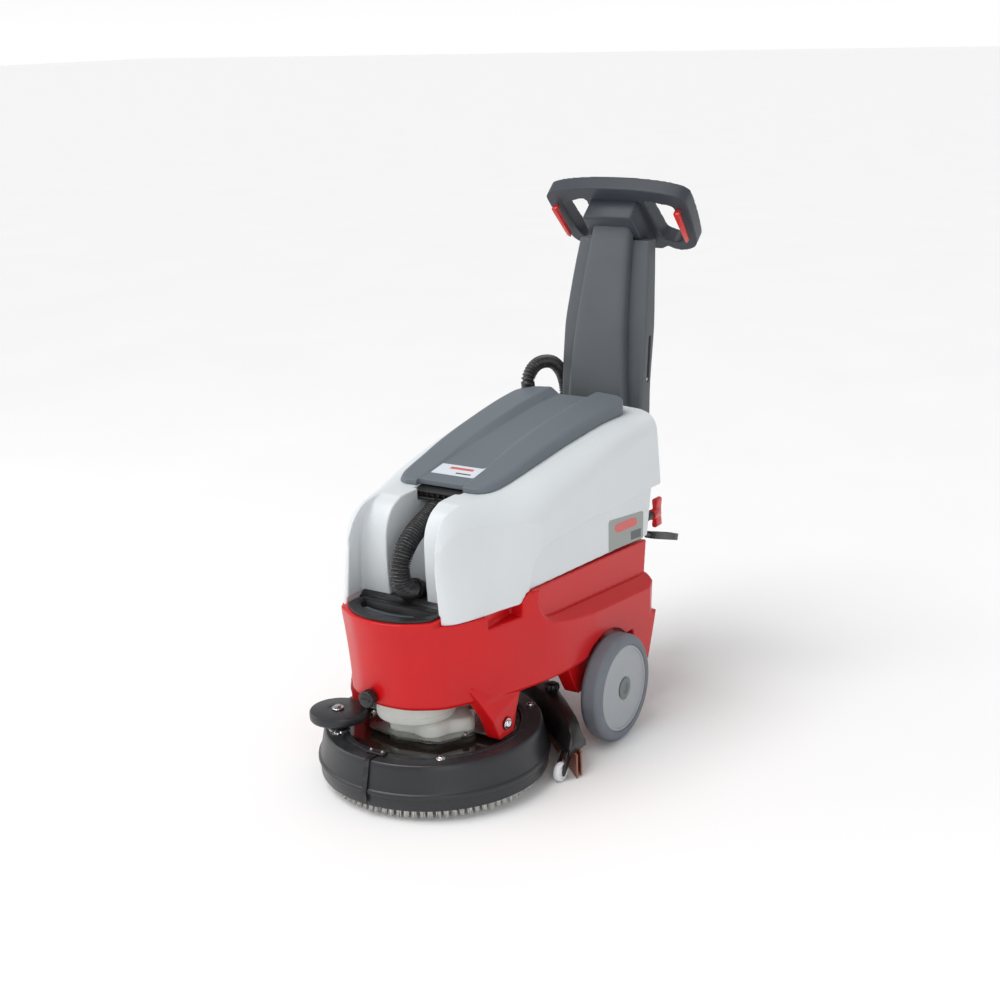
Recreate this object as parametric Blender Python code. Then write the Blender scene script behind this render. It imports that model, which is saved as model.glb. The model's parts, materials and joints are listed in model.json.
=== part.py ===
"""Walk-behind floor scrubber with a disc brush, a solution tank, a recovery tank and a squeegee.

Metres, +Z up, the operator stands at +Y. All numbers below are measured from the brush's axis at
floor level; the empty "machine" then moves that point so that the origin is at the middle of the
footprint. Left is -X.
"""

import math

import bmesh
import bpy
from mathutils import Matrix, Vector

# Driving dimensions.
BRUSH_Y = -0.3328
BRUSH_R = 0.215
SHROUD_R = 0.2389
DECK_TOP = 0.1148
TILT_Y = -0.005
TILT_Z = 0.146
LEG_X = 0.183
WHEEL_R = 0.116
WHEEL_Y = 0.328
WHEEL_IN = 0.2187
WHEEL_OUT = 0.2677
DISC_R = 0.0934
ARCH_GAP = 0.006
BELLY_Z = 0.200
RIM_Z = 0.388
RIM_BACK = 0.397
LOBE_SEAM = 0.378
STEP_Y = 0.085
SIDE_SEAM_FRONT = 0.400
SIDE_SEAM_REAR = 0.366
BASE_REAR = 0.576
WAIST_X = 0.188
TANK_REAR = 0.5775
TANK_X = 0.205
HINGE_Y = 0.5895
HINGE_Z = 0.6565
SQUEEGEE_X = 0.275
LIFT_Y = 0.500
LIFT_Z = 0.172
LEVER_X = 0.120
LEVER_Y = 0.600
LEVER_Z = 0.363
HANDLE_TOP = 1.1325
BAR_Y = 0.768
YOKE_SLOPE = math.radians(48)
YOKE_THICK = 0.018
GAP = 0.0003
ROUND = 32

LEFT_RIGHT = (("left", -1), ("right", 1))


def clear():
    for obj in list(bpy.data.objects):
        bpy.data.objects.remove(obj, do_unlink=True)


def finish(name, colour, roughness, metallic=0.0):
    """One material: colour, roughness and metallic value on a Principled shader."""
    mat = bpy.data.materials.new(name)
    mat.use_nodes = True
    shader = mat.node_tree.nodes["Principled BSDF"]
    shader.inputs["Base Color"].default_value = (*colour, 1.0)
    shader.inputs["Roughness"].default_value = roughness
    shader.inputs["Metallic"].default_value = metallic
    mat.diffuse_color = (*colour, 1.0)
    return mat


clear()
MACHINE = bpy.data.objects.new("machine", None)
MACHINE.location = (0, BRUSH_Y, 0)
bpy.context.collection.objects.link(MACHINE)

RED = finish("red_polyethylene", (0.56, 0.022, 0.025), 0.42)
WHITE = finish("light_grey_polyethylene", (0.55, 0.60, 0.61), 0.45)
SLATE = finish("slate_plastic", (0.16, 0.19, 0.22), 0.5)
DARK = finish("dark_plastic", (0.05, 0.056, 0.065), 0.5)
BLACK = finish("black_plastic", (0.012, 0.013, 0.014), 0.4)
GLOSS = finish("brown_black_gloss", (0.02, 0.013, 0.010), 0.15)
CAST = finish("grey_cast_aluminium", (0.36, 0.38, 0.35), 0.5, 0.4)
STEEL = finish("zinc_plated_steel", (0.6, 0.6, 0.6), 0.3, 1.0)
TYRE = finish("grey_tyre_rubber", (0.14, 0.16, 0.19), 0.7)
DISC = finish("grey_wheel_disc", (0.34, 0.36, 0.39), 0.5)
CAP = finish("grey_green_cap", (0.12, 0.15, 0.14), 0.5)
BRISTLE = finish("pale_nylon", (0.75, 0.72, 0.64), 0.7)
BLADE = finish("brown_gum_rubber", (0.30, 0.12, 0.07), 0.6)
CLEAR = finish("white_nylon", (0.75, 0.76, 0.78), 0.4)
SIGNAL = finish("signal_red_plastic", (0.62, 0.03, 0.03), 0.35)
BATTERY = finish("battery_case", (0.03, 0.03, 0.035), 0.5)


# ---- shapes -------------------------------------------------------------------------------------


def add_prism(bm, outline, axis, low, high):
    """An outline extruded along an axis. It holds (y, z), (x, z) or (x, y) for axis x, y or z."""
    order = {"x": (2, 0, 1), "y": (0, 2, 1), "z": (0, 1, 2)}[axis]
    ends = []
    for level in (low, high):
        ring = []
        for u, v in outline:
            triple = (u, v, level)
            ring.append(bm.verts.new([triple[i] for i in order]))
        ends.append(ring)
    count = len(outline)
    for i in range(count):
        j = (i + 1) % count
        bm.faces.new((ends[0][i], ends[0][j], ends[1][j], ends[1][i]))
    bm.faces.new(ends[0])
    bm.faces.new(ends[1])
    return bm


def add_loft(bm, rings):
    """Closed rings of equal length, joined in order and capped at both ends."""
    loops = [[bm.verts.new(point) for point in ring] for ring in rings]
    count = len(loops[0])
    for a, b in zip(loops, loops[1:]):
        for i in range(count):
            j = (i + 1) % count
            bm.faces.new((a[i], a[j], b[j], b[i]))
    bm.faces.new(loops[0])
    bm.faces.new(loops[-1])
    return bm


def add_turned(bm, profile, centre, axis="z", segments=ROUND):
    """A closed profile of (radius, height) points turned about an axis through centre."""
    rings = []
    for radius, height in profile:
        if radius < 1e-6:
            spots = [(0.0, 0.0)]
        else:
            turns = [2 * math.pi * i / segments for i in range(segments)]
            spots = [(radius * math.cos(t), radius * math.sin(t)) for t in turns]
        ring = []
        for u, v in spots:
            point = {"z": (u, v, height), "x": (height, u, v), "y": (v, height, u)}[axis]
            ring.append(bm.verts.new(Vector(point) + Vector(centre)))
        rings.append(ring)
    for a, b in zip(rings, rings[1:] + rings[:1]):
        if len(a) == 1 and len(b) == 1:
            continue
        for i in range(segments):
            j = (i + 1) % segments
            corners = [a[i % len(a)], a[j % len(a)], b[j % len(b)], b[i % len(b)]]
            bm.faces.new(list(dict.fromkeys(corners)))
    return bm


def add_box(bm, low, high):
    x, y, z = low
    outline = [(x, y), (high[0], y), (high[0], high[1]), (x, high[1])]
    return add_prism(bm, outline, "z", z, high[2])


def prism(outline, axis, low, high):
    return add_prism(bmesh.new(), outline, axis, low, high)


def loft(rings):
    return add_loft(bmesh.new(), rings)


def turned(profile, centre, axis="z", segments=ROUND):
    return add_turned(bmesh.new(), profile, centre, axis, segments)


def box(low, high):
    return add_box(bmesh.new(), low, high)


def cylinder(radius, low, high, centre, axis="z", segments=ROUND):
    profile = [(0, low), (radius, low), (radius, high), (0, high)]
    return turned(profile, centre, axis, segments)


def mirrored(half):
    """A closed symmetric outline from its half at +X, listed from one middle point to the other."""
    other = [(-x, y) for x, y in reversed(half) if abs(x) > 1e-9]
    return list(half) + other


def arc(centre, radius, start, end, steps):
    """Points on an arc, in degrees."""
    points = []
    for i in range(steps + 1):
        turn = math.radians(start + (end - start) * i / steps)
        points.append((centre[0] + radius * math.cos(turn), centre[1] + radius * math.sin(turn)))
    return points


def along(value, stations):
    """Straight-line interpolation in a list of (position, value) stations."""
    if value <= stations[0][0]:
        return stations[0][1]
    for (a, low), (b, high) in zip(stations, stations[1:]):
        if value <= b:
            return low + (high - low) * (value - a) / (b - a)
    return stations[-1][1]


def node(name, bm, mat, origin=(0, 0, 0)):
    """An object named as its node, with its origin where its joint or its seat is."""
    bmesh.ops.recalc_face_normals(bm, faces=bm.faces)
    bmesh.ops.translate(bm, vec=-Vector(origin), verts=bm.verts)
    mesh = bpy.data.meshes.new(name)
    bm.to_mesh(mesh)
    bm.free()
    mesh.materials.append(mat)
    obj = bpy.data.objects.new(name, mesh)
    obj.location = origin
    obj.parent = MACHINE
    bpy.context.collection.objects.link(obj)
    return obj


# Tanks whose many cuts share edges: the manifold solver keeps them closed.
MANY_CUTS = ("base_tank", "recovery_tank")


def combine(obj, bm, operation):
    """A Boolean of an object with a hidden tool shape."""
    bmesh.ops.recalc_face_normals(bm, faces=bm.faces)
    mesh = bpy.data.meshes.new(obj.name + "_tool")
    bm.to_mesh(mesh)
    bm.free()
    tool = bpy.data.objects.new(obj.name + "_tool", mesh)
    tool.parent = MACHINE
    tool.hide_render = True
    tool.display_type = "WIRE"
    bpy.context.collection.objects.link(tool)
    change = obj.modifiers.new(operation.lower(), "BOOLEAN")
    change.operation = operation
    change.solver = "MANIFOLD" if obj.name in MANY_CUTS else "EXACT"
    change.object = tool


def cut(obj, bm):
    combine(obj, bm, "DIFFERENCE")


def unite(obj, bm):
    combine(obj, bm, "UNION")


def round_edges(obj, width, segments=2, angle=40):
    bevel = obj.modifiers.new("rounding", "BEVEL")
    bevel.width = width
    bevel.segments = segments
    bevel.limit_method = "ANGLE"
    bevel.angle_limit = math.radians(angle)


def smooth(obj, angle=35):
    obj.data.shade_smooth()
    obj.data.set_sharp_from_angle(angle=math.radians(angle))


# ---- base tank ----------------------------------------------------------------------------------


def seam(y):
    """Height of the line between the base tank and the recovery tank, behind the step."""
    return along(y, [(STEP_Y, SIDE_SEAM_FRONT), (BASE_REAR, SIDE_SEAM_REAR)])


NOSE_TOP = [(0, -0.190), (0.05, -0.181), (0.089, -0.159), (0.112, -0.142), (0.130, -0.119)]
NOSE_BELLY = [(0, -0.161), (0.05, -0.155), (0.09, -0.134), (0.116, -0.112), (0.14, -0.071)]
FLANK_TOP = [(0.148, -0.082), (0.165, -0.042), (0.181, 0.030), (0.206, 0.11), (0.225, 0.23)]
FLANK_BELLY = [(0.164, -0.035), (0.190, 0.03), (0.210, 0.10), (0.223, 0.18), (0.225, 0.30)]
REAR_TOP = [(0.225, 0.53), (0.214, 0.568), (0, BASE_REAR)]
REAR_BELLY = [(0.225, 0.52), (0.214, 0.548), (0, 0.555)]


def base_ring(z):
    """Plan outline of the base tank at a height."""
    rise = min(1.0, (z - BELLY_Z) / (RIM_Z - BELLY_Z))
    flare = rise ** 1.5
    top = NOSE_TOP + FLANK_TOP + REAR_TOP
    belly = NOSE_BELLY + FLANK_BELLY + REAR_BELLY
    half = []
    for (xt, yt), (xb, yb) in zip(top, belly):
        half.append((xb + (xt - xb) * flare, yb + (yt - yb) * flare))
    return [(x, y, z) for x, y in mirrored(half)]


def shrink(ring, amount):
    """Pull a ring's points towards the middle of the base."""
    pulled = []
    for x, y, z in ring:
        pulled.append((x - math.copysign(amount, x) * (abs(x) > amount), y * 0.99 + 0.002, z))
    return pulled


def make_base_tank():
    levels = (BELLY_Z + 0.008, 0.26, 0.33, 0.37, 0.41)
    rings = [shrink(base_ring(BELLY_Z), 0.006)] + [base_ring(z) for z in levels]
    obj = node("base_tank", loft(rings), RED)
    # Lower corners before and behind each wheel, and the legs that carry the brush deck.
    front_leg = [(0.190, 0.215), (0.234, 0.14), (0.247, 0.120), (0.284, 0.120), (0.292, 0.215)]
    rear_leg = [(0.44, 0.215), (0.46, 0.112), (0.515, 0.110), (0.530, 0.15), (0.5535, 0.215)]
    deck_leg = [(-0.075, 0.215), (-0.032, 0.131), (-0.018, 0.122), (0.012, 0.122), (0.02, 0.131),
            (0.05, 0.215)]
    for side in (-1, 1):
        unite(obj, prism(front_leg, "x", *sorted((side * 0.165, side * 0.2008))))
        unite(obj, prism(rear_leg, "x", *sorted((side * 0.165, side * 0.2245))))
        unite(obj, prism(deck_leg, "x", *sorted((side * 0.150, side * LEG_X))))
    # Top face: the nose keeps its rim, the lobes' seats lie lower, the flanks rise behind the step.
    nose_top = [(-0.25, RIM_Z), (-0.079, RIM_Z), (-0.071, RIM_BACK), (STEP_Y - 0.005, RIM_BACK),
            (STEP_Y, SIDE_SEAM_FRONT)]
    rear_top = [(0.62, seam(0.62)), (0.62, 0.45), (-0.25, 0.45)]
    cut(obj, prism(nose_top + rear_top, "x", -0.3, 0.3))
    seat = [(-0.25, LOBE_SEAM), (STEP_Y - 0.03, LOBE_SEAM), (STEP_Y - 0.012, RIM_BACK),
            (STEP_Y - 0.012, 0.42), (-0.25, 0.42)]
    for side in (-1, 1):
        cut(obj, prism(seat, "x", *sorted((side * 0.1115, side * 0.3))))
        inner = [(0.108, 0.42), (0.096, 0.372), (0.116, 0.342), (0.150, 0.330), (0.306, 0.318),
                (0.62, 0.293), (0.62, 0.42)]
        outer = [(0.086, 0.42), (0.076, 0.362), (0.100, 0.322), (0.143, 0.307), (0.306, 0.289),
                (0.62, 0.264), (0.62, 0.42)]
        rings = []
        for x, line in ((0.195, inner), (0.230, outer)):
            rings.append([(side * x, y, z) for y, z in line])
        cut(obj, loft(rings))
        recess = [(-0.036, 0.3525), (0.054, 0.3545), (0.058, 0.40), (-0.036, 0.40)]
        cut(obj, prism(recess, "x", *sorted((side * 0.158, side * 0.3))))
        arch = cylinder(WHEEL_R + ARCH_GAP, 0.2003, 0.30, (0, 0, 0), "x", 24)
        bmesh.ops.scale(arch, vec=(side, 1, 1), verts=arch.verts)
        bmesh.ops.translate(arch, vec=(0, WHEEL_Y, WHEEL_R), verts=arch.verts)
        cut(obj, arch)
        low, high = sorted((side * 0.14, side * 0.20))
        cut(obj, cylinder(0.0075, low, high, (0, TILT_Y, TILT_Z), "x", 12))
        # Side gallery of the water space.
        low, high = sorted((side * 0.143, side * 0.178))
        cut(obj, box((low, 0.0, 0.212), (high, 0.53, 0.300)))
    # Front water space, filler, dry well for the batteries and vacuum motor, and motor recess.
    water = [(0, -0.056), (0.034, -0.056), (0.034, 0.033), (0.178, 0.033), (0.150, -0.035),
            (0.125, -0.075), (0.10, -0.105)]
    water += [(0.045, -0.140), (0, -0.145)]
    cut(obj, prism(mirrored(water), "z", 0.272, 0.345))
    cut(obj, prism(mirrored(FILLER), "z", 0.33, 0.42))
    cut(obj, box((-0.0378, -0.090, RIM_Z), (0.0378, -0.0430, 0.42)))
    cut(obj, box((-0.136, 0.046, 0.208), (0.136, 0.53, 0.45)))
    cut(obj, box((-0.024, -0.046, 0.30), (0.024, 0.055, 0.45)))
    cut(obj, cylinder(0.094, 0.15, 0.265, (-0.004, -0.05, 0), "z", 24))
    cut(obj, cylinder(0.010, -0.20, -0.12, (-0.03, 0, 0.219), "y", 12))
    return obj


FILLER = [(0, -0.163), (0.045, -0.155), (0.085, -0.130), (0.094, -0.112), (0.094, -0.092), (0, -0.092)]
TRAY_RIM = [(0, -0.180), (0.05, -0.171), (0.092, -0.143), (0.101, -0.125), (0.101, -0.098),
        (0.092, -0.082), (0.036, -0.080)]
TRAY_RIM += [(0.034, -0.060), (0, -0.060)]


def scaled(half, x_scale, shift):
    return [(x * x_scale, y + shift * (1 if y < -0.11 else -1)) for x, y in half]


def make_fill_tray():
    top = RIM_Z + 0.0045
    obj = node("fill_tray", prism(mirrored(TRAY_RIM), "z", RIM_Z + GAP, top), DARK)
    unite(obj, prism(mirrored(scaled(FILLER, 0.97, 0.002)), "z", 0.352, RIM_Z + 0.002))
    cut(obj, prism(mirrored(scaled(FILLER, 0.90, 0.006)), "z", 0.356, 0.40))
    # Curved grip bar across the bowl, on two feet.
    bar = [(0, -0.150), (0.04, -0.146), (0.068, -0.136), (0.062, -0.126), (0.035, -0.134), (0, -0.138)]
    unite(obj, prism(mirrored(bar), "z", 0.376, 0.386))
    for side in (-1, 1):
        unite(obj, box((side * 0.05 - 0.006, -0.140, 0.353), (side * 0.05 + 0.006, -0.132, 0.380)))
    for x in (-0.02, 0.02):
        cut(obj, box((x - 0.006, -0.125, 0.34), (x + 0.006, -0.115, 0.37)))
    return obj


def make_filter_cap():
    """Knurled cap of the solution filter, screwed into the nose. Its plug sits in the wall's hole."""
    profile = [(0, -0.028), (0.006, -0.028), (0.006, -0.034), (0.016, -0.034), (0.0185, -0.031)]
    profile += [(0.0185, -0.016), (0.016, -0.013), (0.0095, -0.013), (0.0095, 0.012), (0, 0.012)]
    cap = turned(profile, (-0.03, -0.150, 0.219), "y", 24)
    for vert in cap.verts:
        spread = Vector((vert.co.x + 0.03, 0, vert.co.z - 0.219))
        if spread.length > 0.0165:
            turn = math.atan2(spread.z, spread.x)
            vert.co += spread * (0.04 * math.cos(12 * turn))
    return node("filter_cap", cap, BLACK, (-0.03, -0.165, 0.219))


def make_inner_works():
    for name, y in (("battery_front", 0.178), ("battery_rear", 0.353)):
        battery = node(name, box((-0.130, y, 0.209), (0.130, y + 0.171, 0.372)), BATTERY)
        for x in (-0.09, 0.09):
            unite(battery, cylinder(0.008, 0.370, 0.380, (x, y + 0.03, 0), "z", 8))
    motor = [(0, 0.209), (0.056, 0.209), (0.056, 0.245), (0.050, 0.250), (0.050, 0.300)]
    motor += [(0.058, 0.303), (0.058, 0.335), (0.018, 0.340), (0.018, 0.350), (0.012, 0.350)]
    motor += [(0.012, 0.320), (0, 0.320)]
    node("vacuum_motor", turned(motor, (0, 0.110, 0), "z", 16), CAST)
    valve = box((-0.115, 0.070, 0.160), (-0.075, 0.105, 0.1985))
    node("solution_valve", valve, BLACK)
    unite(bpy.data.objects["solution_valve"], cylinder(0.009, 0.145, 0.165, (-0.095, 0.0875, 0), "z", 10))


# ---- brush deck ---------------------------------------------------------------------------------


def make_deck():
    shroud = [(0.180, DECK_TOP), (0.2205, DECK_TOP), (0.2234, 0.1120), (0.2375, 0.0560),
            (SHROUD_R, 0.0518)]
    shroud += [(0.2375, 0.0490), (0.2375, 0.0238), (0.2330, 0.0238), (0.2330, 0.050),
            (0.2190, 0.1083), (0.180, 0.1083)]
    smooth(node("deck_shroud", turned(shroud, (0, 0, 0), "z", 48), DARK))
    plate = [(0.030, 0.1018), (0.216, 0.1018), (0.216, 0.1080), (0.030, 0.1080)]
    obj = node("deck_plate", turned(plate, (0, 0, 0), "z", 32), GLOSS)
    smooth(obj)
    # Post of the bumper roller, with the bolt through the roller and its head on top.
    post = [(0, DECK_TOP + GAP), (0.022, DECK_TOP + GAP), (0.022, 0.120), (0.014, 0.124), (0.014, 0.1396)]
    post += [(0.0070, 0.1396), (0.0070, 0.1612), (0.0120, 0.1612), (0.0120, 0.1630), (0.0080, 0.1630)]
    post += [(0.0080, 0.1680), (0, 0.1680)]
    node("roller_post", turned(post, ROLLER, "z", 16), STEEL)
    roller = [(0.0073, 0.1402), (0.052, 0.1402), (0.058, 0.145), (0.058, 0.156), (0.053, 0.1606),
            (0.0073, 0.1606)]
    smooth(node("bumper_roller", turned(roller, ROLLER, "z", 28), DARK, ROLLER))
    # Strap over the shroud's rim at the front.
    clearance = 0.0006
    strap = [(-0.186, DECK_TOP + clearance), (-0.2222, DECK_TOP + clearance), (-0.2242, 0.1125),
            (-0.2383, 0.0565)]
    strap += [(-0.2403, 0.0518), (-0.2385, 0.0470), (-0.2385, 0.028), (-0.2405, 0.028), (-0.2422, 0.0518)]
    strap += [(-0.2402, 0.0575), (-0.2262, 0.1135), (-0.2240, 0.1178), (-0.186, 0.1178)]
    band = prism(strap, "x", -0.0055, 0.0055)
    clip = [(-0.186, DECK_TOP + clearance), (-0.200, DECK_TOP + clearance), (-0.200, 0.1195),
            (-0.186, 0.1195)]
    obj = node("deck_strap", band, BLACK)
    unite(obj, prism(clip, "x", -0.020, 0.020))
    # Brush motor over its scalloped gear case.
    motor = [(0, 0.1503), (0.074, 0.1503), (0.080, 0.156), (0.080, 0.225), (0.074, 0.238),
            (0.030, 0.244), (0, 0.244)]
    smooth(node("brush_motor", turned(motor, (-0.006, -0.05, 0), "z", 32), CAST))
    case = []
    for i in range(36):
        turn = 2 * math.pi * i / 36
        radius = 0.083 + 0.007 * math.cos(6 * turn)
        case.append((0.012 + radius * 1.08 * math.cos(turn), -0.018 + radius * math.sin(turn)))
    rings = []
    for z, size in ((0.1083, 0.96), (0.113, 1.0), (0.140, 1.0), (0.150, 0.90)):
        rings.append([(0.012 + (x - 0.012) * size, -0.018 + (y + 0.018) * size, z) for x, y in case])
    obj = node("gear_case", loft(rings), CAST)
    cut(obj, cylinder(0.012, 0.10, 0.135, (0, 0, 0), "z", 16))
    # Frame bolted round the gear case, with an ear at each end for its pivot bolt.
    frame = [(0, -0.124), (0.085, -0.105), (0.110, -0.060), (0.120, -0.022), (0.1495, -0.022),
            (0.1495, 0.014)]
    frame += [(0.120, 0.014), (0.110, 0.050), (0.085, 0.085), (0, 0.100)]
    obj = node("tilt_frame", prism(mirrored(frame), "z", 0.1190, 0.1240), STEEL)
    opening = [(0.012 + (x - 0.012) * 1.03, -0.018 + (y + 0.018) * 1.03) for x, y in case]
    cut(obj, prism(opening, "z", 0.10, 0.13))
    for name, side in LEFT_RIGHT:
        ear = [(TILT_Y - 0.014, 0.1195), (TILT_Y + 0.014, 0.1195), (TILT_Y + 0.011, 0.157),
                (TILT_Y - 0.011, 0.157)]
        unite(obj, prism(ear, "x", *sorted((side * 0.1450, side * 0.1495))))
        cut(obj, cylinder(0.0077, *sorted((side * 0.140, side * 0.155)), (0, TILT_Y, TILT_Z), "x", 12))
        profile = [(0, 0.1440), (0.0073, 0.1440), (0.0073, LEG_X + GAP), (0.0120, LEG_X + GAP)]
        profile += [(0.0120, LEG_X + 0.0025), (0.0085, LEG_X + 0.0025), (0.0085, LEG_X + 0.0080),
                (0, LEG_X + 0.0080)]
        bolt = turned([(r, side * h) for r, h in profile], (0, TILT_Y, TILT_Z), "x", 12)
        node("pivot_bolt_" + name, bolt, STEEL)


ROLLER = (-0.138, -0.137, 0)


def make_brush():
    block = [(0.020, 0.0450), (0.213, 0.0450), (0.213, 0.0600), (0.205, 0.0660), (0.020, 0.0660)]
    smooth(node("brush_block", turned(block, (0, 0, 0), "z", 32), BLACK))
    ring = [(0.095, 0.0), (BRUSH_R, 0.0), (0.211, 0.0447), (0.099, 0.0447)]
    smooth(node("brush_bristles", turned(ring, (0, 0, 0), "z", 48), BRISTLE))
    hub = [(0, 0.0663), (0.055, 0.0663), (0.055, 0.078), (0.026, 0.082), (0.026, 0.1000)]
    hub += [(0.0115, 0.1000), (0.0115, 0.1300), (0, 0.1300)]
    node("drive_hub", turned(hub, (0, 0, 0), "z", 16), CAST)


# ---- wheels -------------------------------------------------------------------------------------


def make_wheels():
    middle = (WHEEL_IN + WHEEL_OUT) / 2
    half = (WHEEL_OUT - WHEEL_IN) / 2
    for name, side in LEFT_RIGHT:
        centre = (side * middle, WHEEL_Y, WHEEL_R)
        tyre = [(DISC_R, -half + 0.003), (0.100, -half), (0.1105, -half + 0.005),
                (WHEEL_R, -half + 0.016)]
        tyre += [(WHEEL_R, half - 0.016), (0.1105, half - 0.005), (0.100, half), (DISC_R, half - 0.003)]
        smooth(node("tyre_" + name, turned(tyre, centre, "x", 32), TYRE, centre))
        disc = [(0.0104, -half + 0.004), (0.0931, -half + 0.004), (0.0931, half - 0.003),
                (0.0245, half - 0.003)]
        disc += [(0.0235, half - 0.001), (0.0200, half), (0.0115, half), (0.0095, half - 0.0025),
                (0, half - 0.0025)]
        disc += [(0, half - 0.008), (0.0104, half - 0.008)]
        if side < 0:
            disc = [(r, -h) for r, h in reversed(disc)]
        smooth(node("wheel_disc_" + name, turned(disc, centre, "x", 32), DISC, centre))
        axle = [(0, 0.2006), (0.024, 0.2006), (0.024, 0.2060), (0.0135, 0.2060), (0.0135, 0.2180),
                (0.0100, 0.2180)]
        axle += [(0.0100, middle + half - 0.0085), (0, middle + half - 0.0085)]
        stub = turned([(r, side * h) for r, h in axle], (0, WHEEL_Y, WHEEL_R), "x", 16)
        node("axle_" + name, stub, STEEL)


# ---- recovery tank and lid ----------------------------------------------------------------------

TANK_TOP = [(-0.128, 0.512), (-0.119, 0.532), (-0.110, 0.552), (-0.095, 0.570), (-0.07, 0.583),
        (-0.03, 0.589), (0.05, 0.592), (0.10, 0.597)]
TANK_TOP += [(0.20, 0.613), (0.35, 0.636), (0.50, 0.6505), (0.60, 0.652)]
TANK_LOW = [(-0.10, 0.38), (-0.024, 0.40), (0.024, 0.436), (0.06, 0.475), (0.114, 0.512),
        (0.16, 0.53), (0.30, 0.560)]
TANK_LOW += [(0.45, 0.590), (0.60, 0.605)]
TANK_WIDE = [(-0.13, 0.122), (-0.118, 0.130), (-0.106, 0.140), (-0.08, 0.156), (-0.04, 0.172),
        (0.01, 0.184), (0.08, 0.196), (0.16, 0.201), (0.25, TANK_X)]
LID_TOP = [(0.05, 0.603), (0.10, 0.612), (0.152, 0.622), (0.234, 0.640), (0.358, 0.660),
        (0.486, 0.676), (0.59, 0.683)]
LID_WIDE = [(0.05, 0.082), (0.056, 0.096), (0.068, 0.107), (0.09, 0.115), (0.15, 0.121), (0.585, 0.144)]


# Plan outline of the lobes at their foot: x, y and how much of the inward lean applies there.
LOBE_PLAN = [(0, -0.121, 0), (0.117, -0.121, 1), (0.129, -0.112, 1), (0.141, -0.092, 1),
        (0.156, -0.052, 1), (0.169, 0.003, 0.8), (0.186, 0.06, 0.4), (0.203, 0.13, 0.1)]
LOBE_PLAN += [(0.215, 0.25, 0)]
LOBE_LEAN = 0.13


def tank_section(y, steps):
    """Cross-section of the upper tank: flat under the lid, then a shoulder that rounds down."""
    top = along(y, TANK_TOP)
    low = along(y, TANK_LOW)
    wide = along(y, TANK_WIDE)
    inner = along(y, [(-0.10, 0.085), (0.2, 0.115), (0.6, 0.130)])
    power = along(y, [(-0.10, 2.0), (0.10, 2.1), (0.60, 2.8)])
    half = [(0, top)]
    for i in range(steps + 1):
        turn = math.pi / 2 * i / steps
        x = inner + (wide - inner) * math.sin(turn) ** (2 / power)
        half.append((x, low + (top - low) * max(0.0, math.cos(turn)) ** (2 / power)))
    half.append((wide, 0.37))
    half.append((0, 0.37))
    return [(x, y, z) for x, z in mirrored(half)]


def rear_bow(x, z):
    """How far back the upper tank's rear wall lies."""
    return 0.637 - 0.6 * x * x + (0.650 - z) * 0.13 - 0.022 * (abs(x) / TANK_X) ** 6


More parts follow.
